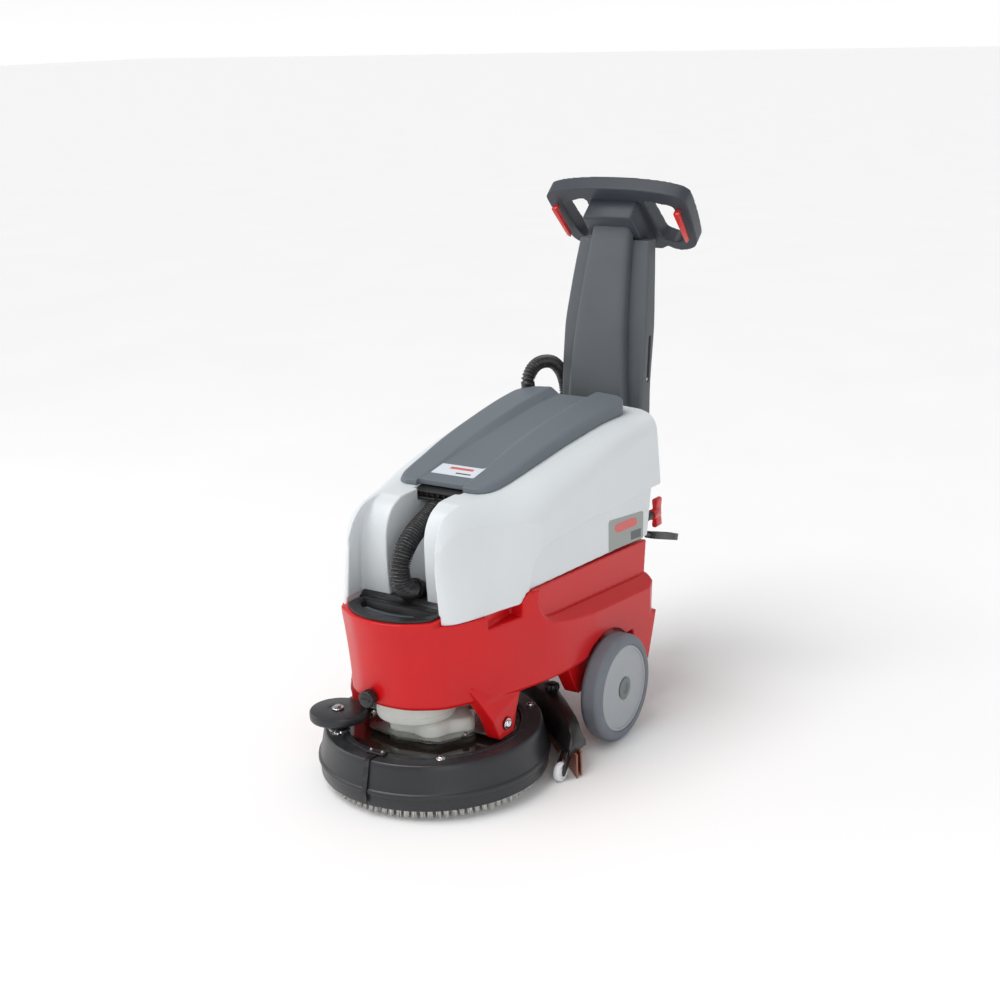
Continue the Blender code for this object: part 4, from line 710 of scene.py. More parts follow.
def make_lid():
    stations = [0.05, 0.053, 0.056, 0.06, 0.064, 0.068, 0.074, 0.08, 0.09]
    stations += [0.09 + 0.495 * i / 24 for i in range(1, 25)]
    obj = raw("lid_shell", loft([lid_section(y, 0) for y in stations]))
    tools = []
    # The left rear corner is cut back further, clear of the rear hose when the lid is up.
    for side, pull in ((-1, 0.013), (1, 0.0)):
        corner = fair([(0.1, 0.5855), (0.114, 0.583 - pull * 0.6), (0.128, 0.574 - pull),
                       (0.138, 0.56 - pull), (0.1435, 0.54 - pull)], 4)
        corner = [(side * x, y) for x, y in corner]
        corner += [(side * 0.17, 0.53), (side * 0.17, 0.61), (side * 0.1, 0.61)]
        tools.append((CUT, prism(corner, "z", 0.5, 0.75)))
    inner = [lid_section(0.072 + 0.473 * i / 14, LID_WALL) for i in range(15)]
    tools.append((CUT, loft(inner)))
    tools.append((CUT, box((-NOTCH_X, 0.0, 0.5), (NOTCH_X, 0.062, 0.7))))
    lip = [(0.0622, 0.5945), (0.0672, 0.5945), (0.0672, 0.6035), (0.0622, 0.6035)]
    tools.append((JOIN, prism(lip, "x", -0.06, 0.06)))
    carve(obj, tools, "EXACT")
    remesh(obj, LID_VOXEL, 3)
    place(obj, SLATE, "lid", ["lid"], "slate_cover")


make_lid()


FILM_SUNK = 0.0015


def film(name, x_range, y_range, thickness, mat):
    """A printed film that follows the lid's top, with generic bars in place of words."""
    rings = []
    for i in range(9):
        y = y_range[0] + (y_range[1] - y_range[0]) * i / 8
        surface = lid_surface(y)
        over = []
        for k in range(13):
            x = x_range[0] + (x_range[1] - x_range[0]) * k / 12
            over.append((x, y, flow(abs(x), surface) + thickness))
        under = [(x, y, z - FILM_SUNK) for x, y, z in reversed(over)]
        rings.append(over + under)
    place(raw(name, loft(rings)), mat, "lid", (), None, 40)


film("lid_label", (-0.05, 0.056), (0.094, 0.138), 0.0006, LABEL)
film("lid_label_bar", (-0.022, 0.034), (0.12, 0.129), 0.0008, MARK)
film("lid_label_line", (0.004, 0.04), (0.102, 0.107), 0.0008, MARK_DARK)


def make_rating_plate():
    """Plate on the right waist: a rounded bar and a small box in place of its printing."""
    plate = [(0.4025, 0.387), (0.403, 0.45), (0.407, 0.4555), (0.553, 0.438), (0.558, 0.434),
             (0.556, 0.3755)]
    obj = raw("rating_plate", prism(plate, "x", WAIST_X - 0.001, WAIST_X + 0.0008))
    place(obj, PLATE, "recovery", (), None, 40)
    bar = []
    for turn in range(0, 360, 20):
        t = math.radians(turn)
        bar.append((0.478 + math.copysign(0.05 * abs(math.cos(t)) ** 0.5, math.cos(t)),
                    0.427 + math.copysign(0.0105 * abs(math.sin(t)) ** 0.5, math.sin(t))
                    - 0.006 * math.cos(t)))
    obj = raw("rating_plate_bar", prism(bar, "x", WAIST_X, WAIST_X + 0.001))
    place(obj, MARK, "recovery", (), None, 40)
    small_box = [(0.5, 0.386), (0.546, 0.3815), (0.546, 0.401), (0.5, 0.4055)]
    obj = raw("rating_plate_box", prism(small_box, "x", WAIST_X, WAIST_X + 0.001))
    place(obj, MARK_DARK, "recovery", (), None, 40)


make_rating_plate()


# ---- fill tray and filter -----------------------------------------------------------------------

TRAY_RIM = [(0, -0.18), (0.05, -0.171), (0.092, -0.143), (0.101, -0.125), (0.101, -0.098),
            (0.092, -0.082)]


def scaled(half, x_scale, shift):
    return [(x * x_scale, y + shift * (1 if y < -0.11 else -1)) for x, y in half]


def make_fill_tray():
    rim = fair(TRAY_RIM, 5, True) + [(0.037, -0.08), (0.034, -0.0612), (0, -0.0612)]
    bowl = fair(FILLER[:5], 5, True) + [(0, -0.092)]
    obj = raw("tray_rim", prism(mirrored(rim), "z", RIM_Z + GAP, RIM_Z + 0.0048))
    carve(obj, [(CUT, prism(mirrored(scaled(bowl, 0.93, 0.004)), "z", 0.36, 0.42))])
    bevel(obj, 0.0014)
    # Flange over the raised strip behind the tray, cut open round the hose's elbow.
    flange = [(-0.085, 0.3925), (-0.08, 0.3925), (-0.0722, 0.4003), (-0.0655, 0.4003),
              (-0.0655, 0.3976), (-0.0712, 0.3976), (-0.079, 0.3888), (-0.085, 0.3888)]
    carve(obj, [(JOIN, prism(flange, "x", -0.108, 0.108)),
                (JOIN, box((-0.106, -0.0665, 0.3976), (0.106, -0.022, 0.3998))),
                (CUT, cylinder(0.0255, 0.38, 0.41, (0, -0.034, 0), "z", 48)),
                (CUT, box((-0.0255, -0.062, 0.38), (0.0255, -0.034, 0.41)))])
    place(obj, BLACK, "chassis", ["fill_tray"], "dark_plastic", 35)
    obj = raw("tray_bowl", prism(mirrored(scaled(bowl, 0.955, 0.002)), "z", 0.352, RIM_Z + 0.003))
    carve(obj, [(CUT, prism(mirrored(scaled(bowl, 0.9, 0.006)), "z", 0.356, 0.42))])
    bevel(obj, 0.001, 2)
    place(obj, BLACK, "chassis", (), "black_plastic", 35)
    # Curved grip bar with a stepped top, on two feet, and a small hook behind it.
    outer = fair([(0.072, -0.131), (0.045, -0.143), (0, -0.15)], 6)
    inner = fair([(0, -0.134), (0.04, -0.129), (0.064, -0.12)], 6)
    bar = mirrored([(x, y) for x, y in reversed(outer)] + [(x, y) for x, y in reversed(inner)])
    obj = raw("tray_grip", prism(bar, "z", 0.374, 0.387))
    step = mirrored([(0, -0.1475), (0.042, -0.141), (0.06, -0.133), (0.056, -0.128),
                     (0.034, -0.133), (0, -0.137)])
    tools = [(JOIN, prism(step, "z", 0.38, 0.3915))]
    for side in (-1, 1):
        x = side * 0.05
        tools.append((JOIN, box((x - 0.006, -0.139, 0.3545), (x + 0.006, -0.131, 0.38))))
    carve(obj, tools)
    remesh(obj, 0.0011, 3)
    place(obj, DUSK, "chassis", (), "dark_plastic")
    hook = [(-0.006, -0.112), (0.006, -0.112), (0.005, -0.1045), (-0.005, -0.1045)]
    obj = raw("tray_hook", prism(hook, "z", 0.3558, 0.377))
    bevel(obj, 0.0018)
    place(obj, BLACK, "chassis", (), "black_plastic", 35)


make_fill_tray()


def make_filter_cap():
    profile = [(0, -0.034), (0.0152, -0.034), (0.0172, -0.0325), (0.0178, -0.0295),
               (0.0178, -0.018), (0.0165, -0.0145), (0.013, -0.0132), (0.0095, -0.013),
               (0.0095, 0.01), (0, 0.01)]
    cap = turned(profile, (-0.03, -0.15, 0.219), "y", 96)
    for vert in cap.verts:
        spread = Vector((vert.co.x + 0.03, 0, vert.co.z - 0.219))
        if spread.length > 0.016:
            turn = math.atan2(spread.z, spread.x)
            vert.co -= spread * 0.085 * max(0.0, math.cos(12 * turn)) ** 2
    cross = box((-0.0405, -0.1875, 0.217), (-0.0195, -0.1838, 0.221))
    obj = raw("filter_cap_knob", cap)
    carve(obj, [(JOIN, cross)])
    bevel(obj, 0.0006, 2, 50)
    place(obj, BLACK, "filter", ["filter_cap"], "black_plastic", 40)


make_filter_cap()

# ---- fasteners ----------------------------------------------------------------------------------


def dome_bolt(bm, centre, axis, radius, sign=1):
    """Washer and low domed head, standing on a face whose outward side is sign along the axis."""
    washer = [(0, 0.0), (radius * 1.45, 0.0), (radius * 1.5, 0.0004), (radius * 1.5, 0.0013),
              (radius * 1.42, 0.0018)]
    head = [(radius, 0.0018), (radius, 0.003)]
    for t in map(math.radians, (20, 40, 60, 75)):
        head.append((radius * math.cos(t), 0.003 + radius * 0.55 * math.sin(t)))
    head += [(radius * 0.36, 0.0028 + radius * 0.5), (radius * 0.3, 0.003), (0, 0.003)]
    profile = [(r, sign * h) for r, h in washer + head]
    turned(profile, centre, axis, 24, bm)


def hex_bolt(bm, centre, width, height):
    """Hexagon head on a washer, facing up."""
    washer = [(0, 0), (width * 0.92, 0), (width * 0.92, 0.0015), (0, 0.0015)]
    turned(washer, centre, "z", 32, bm)
    head = [(0, 0.0015), (width * 0.577, 0.0015), (width * 0.577, height - 0.0006),
            (width * 0.52, height), (0, height)]
    turned(head, centre, "z", 6, bm)


def make_fasteners():
    for name, side in SIDES:
        profile = [(0, 0.144), (0.0073, 0.144), (0.0073, LEG_X + GAP), (0.0118, LEG_X + GAP),
                   (0.0122, LEG_X + 0.0009), (0.0122, LEG_X + 0.002), (0.0116, LEG_X + 0.0026),
                   (0.0092, LEG_X + 0.0026), (0.0092, LEG_X + 0.004)]
        for t in map(math.radians, (20, 40, 60, 80)):
            profile.append((0.0092 * math.cos(t), LEG_X + 0.004 + 0.0046 * math.sin(t)))
        profile += [(0, LEG_X + 0.0087)]
        obj = raw("pivot_pin_" + name, turned([(r, side * h) for r, h in profile], TILT, "x", 48))
        place(obj, CHROME, "chassis", ["pivot_bolt_" + name], "steel", 35)
    bm = bmesh.new()
    for x, y in ((-0.127, -0.158), (0.122, -0.15), (0.136, 0.155), (-0.13, 0.155)):
        dome_bolt(bm, (x, y, DECK_TOP + GAP), "z", 0.0062)
    place(raw("deck_bolts", bm), CHROME, "deck", (), "steel", 35)


DECK_TOP = 0.1148
make_fasteners()

# ---- brush deck ---------------------------------------------------------------------------------

ROLLER = (-0.138, -0.137, 0)


def make_deck():
    shroud = [(0.18, DECK_TOP), (0.219, DECK_TOP), (0.2205, 0.1144), (0.2218, 0.1134),
              (0.224, 0.11), (0.2258, 0.1015), (0.2295, 0.083), (0.2335, 0.064), (0.235, 0.06),
              (0.2376, 0.058), (0.2388, 0.056), (0.2389, 0.052), (0.2382, 0.0496), (0.236, 0.0482),
              (0.2346, 0.0474), (0.2344, 0.025), (0.2338, 0.0238), (0.2312, 0.0238),
              (0.2306, 0.0245), (0.2306, 0.05), (0.219, 0.1083), (0.18, 0.1083)]
    obj = raw("shroud_ring", turned(shroud, (0, 0, 0), "z", 160))
    place(obj, RING, "deck", ["deck_shroud"], "dark_plastic", 30)
    # A low ridge inside the rim of the top face.
    ridge = [(0.186, DECK_TOP - 0.001), (0.1866, DECK_TOP + 0.0014), (0.189, DECK_TOP + 0.0018),
             (0.1914, DECK_TOP + 0.0014), (0.192, DECK_TOP - 0.001)]
    place(raw("shroud_ridge", turned(ridge, (0, 0, 0), "z", 128)), RING, "deck", (), "dark_plastic", 40)
    plate = [(0.03, 0.1018), (0.215, 0.1018), (0.2155, 0.103), (0.2155, 0.107), (0.2145, 0.108),
             (0.179, 0.108), (0.177, 0.1096), (0.174, 0.1096), (0.172, 0.108), (0.03, 0.108)]
    place(raw("gloss_plate", turned(plate, (0, 0, 0), "z", 128)), GLOSS, "deck", ["deck_plate"],
          "gloss_plate", 30)
    # Brush motor: pressed can with a rolled seam and two bands.
    motor = [(0, 0.1503), (0.0745, 0.1503), (0.079, 0.153), (0.08, 0.156), (0.08, 0.166),
             (0.0788, 0.1672), (0.0788, 0.17), (0.08, 0.1712), (0.08, 0.203), (0.079, 0.204),
             (0.079, 0.2075), (0.08, 0.2085), (0.08, 0.226), (0.0785, 0.232), (0.0745, 0.2372),
             (0.068, 0.24), (0.03, 0.2436), (0, 0.2438)]
    place(raw("motor_can", turned(motor, (-0.006, -0.05, 0), "z", 96)), CAST, "deck", ["brush_motor"],
          "cast_metal", 30)
    rings = []
    levels = ((0.1083, 0.95), (0.11, 0.985), (0.113, 1.0), (0.139, 1.0), (0.144, 0.985),
              (0.148, 0.945), (0.15, 0.9))
    for z, size in levels:
        ring = []
        for i in range(144):
            turn = 2 * math.pi * i / 144
            radius = (0.083 + 0.007 * math.cos(6 * turn)) * size
            ring.append((0.012 + radius * 1.08 * math.cos(turn), -0.018 + radius * math.sin(turn), z))
        rings.append(ring)
    place(raw("gear_housing", loft(rings)), CAST, "deck", ["gear_case"], "cast_metal", 45)
    bm = bmesh.new()
    for k in range(6):
        turn = 2 * math.pi * (k + 0.5) / 6
        spot = (0.012 + 0.0745 * 1.08 * math.cos(turn), -0.018 + 0.0745 * math.sin(turn), 0.1495)
        if math.hypot(spot[0] + 0.006, spot[1] + 0.05) > 0.088:
            hex_bolt(bm, spot, 0.0085, 0.006)
    place(raw("gear_bolts", bm), STEEL, "deck", (), "steel", 30)
    bm = bmesh.new()
    for x, y in ((0.1, 0.045), (-0.1, 0.045), (0.112, -0.05), (-0.112, -0.05)):
        dome_bolt(bm, (x, y, 0.124), "z", 0.0052)
    place(raw("frame_bolts", bm), STEEL, "deck", (), "steel", 30)
    # Bumper roller on its post.
    roller = [(0.0075, 0.1402), (0.054, 0.1402), (0.0562, 0.1412), (0.0578, 0.1436),
              (0.0582, 0.147), (0.0582, 0.154), (0.0578, 0.1574), (0.0562, 0.1598), (0.054, 0.1606),
              (0.021, 0.1606), (0.0204, 0.16), (0.0075, 0.16)]
    place(raw("roller_wheel", turned(roller, ROLLER, "z", 96)), RING, "roller", ["bumper_roller"],
          "dark_plastic", 32)
    bm = bmesh.new()
    post = [(0, DECK_TOP + GAP), (0.022, DECK_TOP + GAP), (0.022, 0.119), (0.0205, 0.1202),
            (0.0145, 0.124), (0.014, 0.1396), (0.007, 0.1396), (0.007, 0.1612), (0.0122, 0.1612),
            (0.0126, 0.1618), (0.0126, 0.1624), (0.012, 0.163), (0, 0.163)]
    turned(post, ROLLER, "z", 48, bm)
    hex_bolt(bm, (ROLLER[0], ROLLER[1], 0.1628), 0.012, 0.005)
    place(raw("roller_bolt", bm), CHROME, "deck", ["roller_post"], "steel", 30)
    # Buckle of the strap over the rim.
    buckle = box((-0.0205, -0.2015, DECK_TOP + 0.003), (0.0205, -0.185, DECK_TOP + 0.0062))
    obj = raw("strap_buckle", buckle)
    bevel(obj, 0.0012)
    place(obj, BLACK, "deck", (), "black_plastic", 35)
    bm = bmesh.new()
    for x in (-0.0135, 0.0135):
        dome_bolt(bm, (x, -0.1932, DECK_TOP + 0.006), "z", 0.0026)
    place(raw("strap_rivets", bm), STEEL, "deck", (), "steel", 30)


make_deck()


BRISTLE_ROOT = 0.0448
BRISTLE_REACH = 0.2155
FILAMENT_R = 0.00075
FILAMENTS = 16


def make_brush():
    """Bristle tufts in rings. The outer two rings are drawn filament by filament."""
    random.seed(7)
    bm = bmesh.new()
    radii = (0.104, 0.126, 0.148, 0.17, 0.19, 0.206)
    for ring, radius in enumerate(radii):
        count = round(2 * math.pi * radius / 0.0155)
        for k in range(count):
            turn = 2 * math.pi * (k + 0.5 * (ring % 2)) / count
            foot = Vector((radius * math.cos(turn), radius * math.sin(turn), BRISTLE_ROOT))
            splay = 0.0115 if ring == len(radii) - 1 else 0.0055
            if ring < len(radii) - 2:
                tip = foot * 1.0
                tip.z = 0.0
                loft([tuft_ring(foot, 0.0034, 7), tuft_ring(tip, 0.0052, 7)], bm)
                continue
            for j in range(FILAMENTS):
                spin = 2.4 * j
                out = 0.0031 * math.sqrt((j + 0.5) / FILAMENTS)
                start = foot + Vector((out * math.cos(spin), out * math.sin(spin), 0))
                end = start + foot.normalized() * splay * random.uniform(0.1, 0.75)
                end += Vector((math.cos(spin), math.sin(spin), 0)) * random.uniform(0.0008, 0.003)
                reach = math.hypot(end.x, end.y)
                if reach > BRISTLE_REACH:
                    end *= BRISTLE_REACH / reach
                end.z = random.uniform(0.0, 0.0012)
                middle = start.lerp(end, 0.5) - foot.normalized() * 0.0006
                middle.z = 0.022
                loft([tuft_ring(p, FILAMENT_R, 4) for p in (start, middle, end)], bm)
    place(raw("bristle_tufts", bm), BRISTLE, "brush", ["brush_bristles"], "bristle")


def tuft_ring(centre, radius, count):
    return [(centre[0] + radius * math.cos(2 * math.pi * i / count),
             centre[1] + radius * math.sin(2 * math.pi * i / count), centre[2]) for i in range(count)]


make_brush()

# ---- wheels -------------------------------------------------------------------------------------

WHEEL_IN = 0.2187
WHEEL_OUT = 0.2677
DISC_R = 0.0934


def make_wheels():
    middle = (WHEEL_IN + WHEEL_OUT) / 2
    half = (WHEEL_OUT - WHEEL_IN) / 2
    for name, side in SIDES:
        centre = (side * middle, WHEEL_Y, WHEEL_R)
        edge = fair([(DISC_R, half - 0.003), (0.096, half - 0.0006), (0.101, half),
                     (0.108, half - 0.0018), (0.113, half - 0.0065), (0.1156, half - 0.012),
                     (WHEEL_R, half - 0.0165)], 4)
        profile = [(r, -h) for r, h in edge] + [(r, h) for r, h in reversed(edge)]
        obj = raw("tyre_ring_" + name, turned(profile, centre, "x", 128))
        place(obj, TYRE, "wheel_" + name, ["tyre_" + name], "tyre", 50)
        face = [(0.0931, half - 0.0036), (0.0915, half - 0.0022), (0.088, half - 0.0022),
                (0.0868, half - 0.0048), (0.085, half - 0.0056), (0.056, half - 0.005),
                (0.042, half - 0.003), (0.033, half - 0.0022), (0.0262, half - 0.0022),
                (0.0256, half - 0.0036), (0, half - 0.0036)]
        disc = [(0, -half + 0.004), (0.0931, -half + 0.004)] + face
        obj = raw("disc_" + name, turned([(r, side * h) for r, h in disc], centre, "x", 96))
        place(obj, DISC, "wheel_" + name, ["wheel_disc_" + name], "wheel_disc", 32)
        cap = [(0, half - 0.004), (0.0234, half - 0.004), (0.0234, half - 0.0012),
               (0.0226, half - 0.0004), (0.0205, half), (0.0125, half), (0.0112, half - 0.0006),
               (0.01, half - 0.0024), (0, half - 0.0028)]
        obj = raw("hub_cap_" + name, turned([(r, side * h) for r, h in cap], centre, "x", 64))
        place(obj, CAP, "wheel_" + name, (), "switch_cap", 32)


make_wheels()

# ---- hoses --------------------------------------------------------------------------------------

FRONT_HOSE = [(0, 0.056, 0.554), (0, 0.04, 0.552), (0, 0.015, 0.546), (0, -0.02, 0.535),
              (0, -0.05, 0.52), (0, -0.076, 0.498), (0, -0.0905, 0.47), (0, -0.09, 0.443),
              (0, -0.079, 0.426), (0, -0.064, 0.4155), (0, -0.05, 0.4112)]
ELBOW = [(0, -0.0505, 0.4114), (0, -0.038, 0.4078), (0, -0.027, 0.401), (0, -0.0195, 0.39),
         (0, -0.0168, 0.378), (0, -0.0165, 0.366)]
FRONT_R, FRONT_PITCH, FRONT_RIB = 0.0205, 0.0058, 0.0036
REAR_R, REAR_PITCH, REAR_RIB = 0.0158, 0.0072, 0.0042
CUFF = (-0.137, 0.6105, 0)
REAR_UPPER = [(-0.137, 0.6105, 0.6718), (-0.137, 0.6105, 0.695), (-0.136, 0.635, 0.717),
              (-0.134, 0.672, 0.723), (-0.13, 0.715, 0.712), (-0.127, 0.75, 0.676),
              (-0.1265, 0.762, 0.62), (-0.124, 0.75, 0.52), (-0.123, 0.705, 0.41),
              (-0.121, 0.655, 0.33), (-0.1175, 0.614, 0.282), (-0.116, 0.605, 0.262),
              (-0.116, 0.605, 0.2389)]
REAR_LOWER = [(-0.116, 0.605, 0.2111), (-0.116, 0.605, 0.186), (-0.105, 0.595, 0.145),
              (-0.07, 0.562, 0.112), (-0.028, 0.515, 0.093), (-0.006, 0.475, 0.084),
              (0.0, 0.455, 0.082), (0.0, 0.4309, 0.082)]


def make_hoses():
    obj = raw("front_hose_ribbed", corrugated(FRONT_HOSE, FRONT_R, FRONT_PITCH, FRONT_RIB, 0.034, 0.008, 40))
    place(obj, HOSE, "recovery", ["front_hose"], "black_hose")
    # Upper cuff with its two raised bands.
    path = even_path(FRONT_HOSE, 0.0015)
    radii = []
    used = path[:24]
    for i in range(len(used)):
        band = 4 <= i <= 7 or 17 <= i <= 20
        radii.append(0.0228 if band else 0.0214)
    obj = raw("front_cuff", sweep(used, radii, 48))
    place(obj, BLACK, "recovery", (), "black_hose", 40)
    path = even_path(ELBOW, 0.0015)
    last = len(path) - 1
    radii = []
    for i in range(len(path)):
        collar = i <= 6 or last - 12 <= i <= last - 6
        radii.append(0.0232 if collar else 0.0205)
    obj = raw("elbow_moulding", sweep(path, radii, 48))
    place(obj, BLACK, "recovery", ["hose_elbow"], "black_hose", 40)
    cuff = [(0, 0.6527), (0.0194, 0.6527), (0.0198, 0.654), (0.0198, 0.658), (0.019, 0.6592),
            (0.0182, 0.6592), (0.0182, 0.666), (0.019, 0.6672), (0.019, 0.67), (0.018, 0.6715),
            (0, 0.6715)]
    place(raw("cuff_ring", turned(cuff, CUFF, "z", 64)), BLACK, "recovery", ["inlet_cuff"],
          "black_plastic", 35)
    obj = raw("rear_hose_ribbed", corrugated(REAR_UPPER, REAR_R, REAR_PITCH, REAR_RIB, 0.016, 0.014, 32))
    place(obj, HOSE, None, ["rear_hose_upper"], "black_hose")
    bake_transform(obj)
    obj = raw("rear_hose_low", corrugated(REAR_LOWER, REAR_R, REAR_PITCH, REAR_RIB, 0.014, 0.012, 32))
    place(obj, HOSE, None, ["rear_hose_lower"], "black_hose")
    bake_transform(obj)
    clip = [(0.01, 0.2112), (0.019, 0.2112), (0.0205, 0.2124), (0.0205, 0.22), (0.0195, 0.221),
            (0.0195, 0.229), (0.0205, 0.23), (0.0205, 0.2376), (0.019, 0.2388), (0.01, 0.2388)]
    obj = raw("coupling_ring", turned(clip, (-0.116, 0.605, 0), "z", 64))
    carve(obj, [(JOIN, box((-0.13, 0.564, 0.216), (-0.102, 0.59, 0.234)))])
    place(obj, BLACK, "chassis", ["hose_coupling"], "black_plastic", 35)


make_hoses()


def make_outlet():
    """Black housing under the lid's notch, with fins in its front opening."""
    side = [(0.041, 0.5672), (0.09, 0.5672), (0.09, 0.589), (0.0735, 0.589), (0.0722, 0.5915),
            (0.06, 0.591), (0.041, 0.587)]
    obj = raw("outlet_housing", prism(side, "x", -0.0553, 0.0553))
    carve(obj, [(CUT, box((-0.048, 0.03, 0.5735), (0.048, 0.052, 0.5835)))])
    bevel(obj, 0.0016)
    place(obj, BLACK, "recovery", ["vacuum_outlet"], "black_plastic", 35)
    bm = bmesh.new()
    fin = [(0.047, 0.5735), (0.052, 0.5735), (0.052, 0.5838), (0.049, 0.5838)]
    for k in range(-3, 4):
        x = 0.0135 * k
        prism(fin, "x", x - 0.0009, x + 0.0009, bm)
    obj = raw("outlet_fins", bm)
    place(obj, BLACK, "recovery", (), "black_plastic", 35)


make_outlet()

# ---- tap and lever ------------------------------------------------------------------------------

TAP = (0.165, 0.668, 0.402)
LEVER = (0.12, 0.6, 0.363)


def make_tap():
    obj = raw("tap_wing", cylinder(0.0115, 0.6403, 0.668, (TAP[0], 0, TAP[2]), "y", 48))
    half = fair([(0.0, -0.034), (0.0045, -0.0325), (0.0062, -0.027), (0.0048, -0.014),
                 (0.0045, 0.0), (0.0048, 0.014), (0.0062, 0.027), (0.0045, 0.0325),
                 (0.0, 0.034)], 4)
    outline = half + [(-x, z) for x, z in reversed(half[1:-1])]
    wing = [(TAP[0] + x, TAP[2] + z) for x, z in outline]
    carve(obj, [(JOIN, prism(wing, "y", 0.656, 0.6805))])
    bevel(obj, 0.0012, 3, 45)
    place(obj, SIGNAL, "tap", ["tap_handle"], "signal_red", 40)


make_tap()


def make_lever():
    """Bent shaft with a flattened, hollow grip, on the pin at the rear bracket."""
    turn = Matrix.Rotation(math.atan2(-0.075, 0.242), 4, "X")
    shift = Matrix.Translation(LEVER)

    def on_lever(bm):
        bm.transform(shift @ turn)
        return bm

    obj = raw("squeegee_lever", on_lever(box((-0.008, -0.004, -0.0035), (0.008, 0.132, 0.0035))))
    outline = mirrored([(0, 0.118), (0.009, 0.118), (0.0135, 0.126), (0.015, 0.142), (0.0152, 0.23),
                        (0.014, 0.2465), (0.01, 0.253), (0, 0.254)])
    window = mirrored([(0, 0.14), (0.007, 0.142), (0.0085, 0.15), (0.0085, 0.228), (0.007, 0.236),
                       (0, 0.238)])
    x = LEVER[0]
    pin = (0, LEVER[1], LEVER[2])
    tools = [(JOIN, on_lever(prism(outline, "z", -0.0078, 0.0078))),
             (CUT, on_lever(prism(window, "z", 0.0035, 0.02))),
             (CUT, on_lever(prism(window, "z", -0.02, -0.0035))),
             (JOIN, cylinder(0.009, x - 0.008, x + 0.008, pin, "x", 40)),
             (CUT, cylinder(0.0042, x - 0.02, x + 0.02, pin, "x", 24))]
    carve(obj, tools)
    bevel(obj, 0.0016, 3, 45)
    place(obj, BLACK, "lever", ["lift_lever"], "black_plastic", 40)


make_lever()

# ---- squeegee -----------------------------------------------------------------------------------

KNOB_X = 0.13
SUPPORT_X = 0.25


def sweep_y(x):
    """The squeegee's bow: where its middle line lies at x."""
    return 0.385 - math.sqrt((0.95 * x) ** 2 + 0.045 ** 2)


def squeegee_section(x, half_stations, top_stations):
    spread = abs(x)
    middle = sweep_y(x)
    half = flow(spread, half_stations)
    top = flow(spread, top_stations)
    return [(x, middle + u, z) for u, z in (
        (-half, 0.052), (half, 0.052), (half + 0.0006, 0.0545), (half, 0.063), (half - 0.003, 0.0665),
        (half * 0.55, top - 0.003), (half * 0.4, top), (-half * 0.4, top), (-half * 0.55, top - 0.003),
        (-half + 0.003, 0.0665), (-half, 0.063), (-half - 0.0006, 0.0545))]


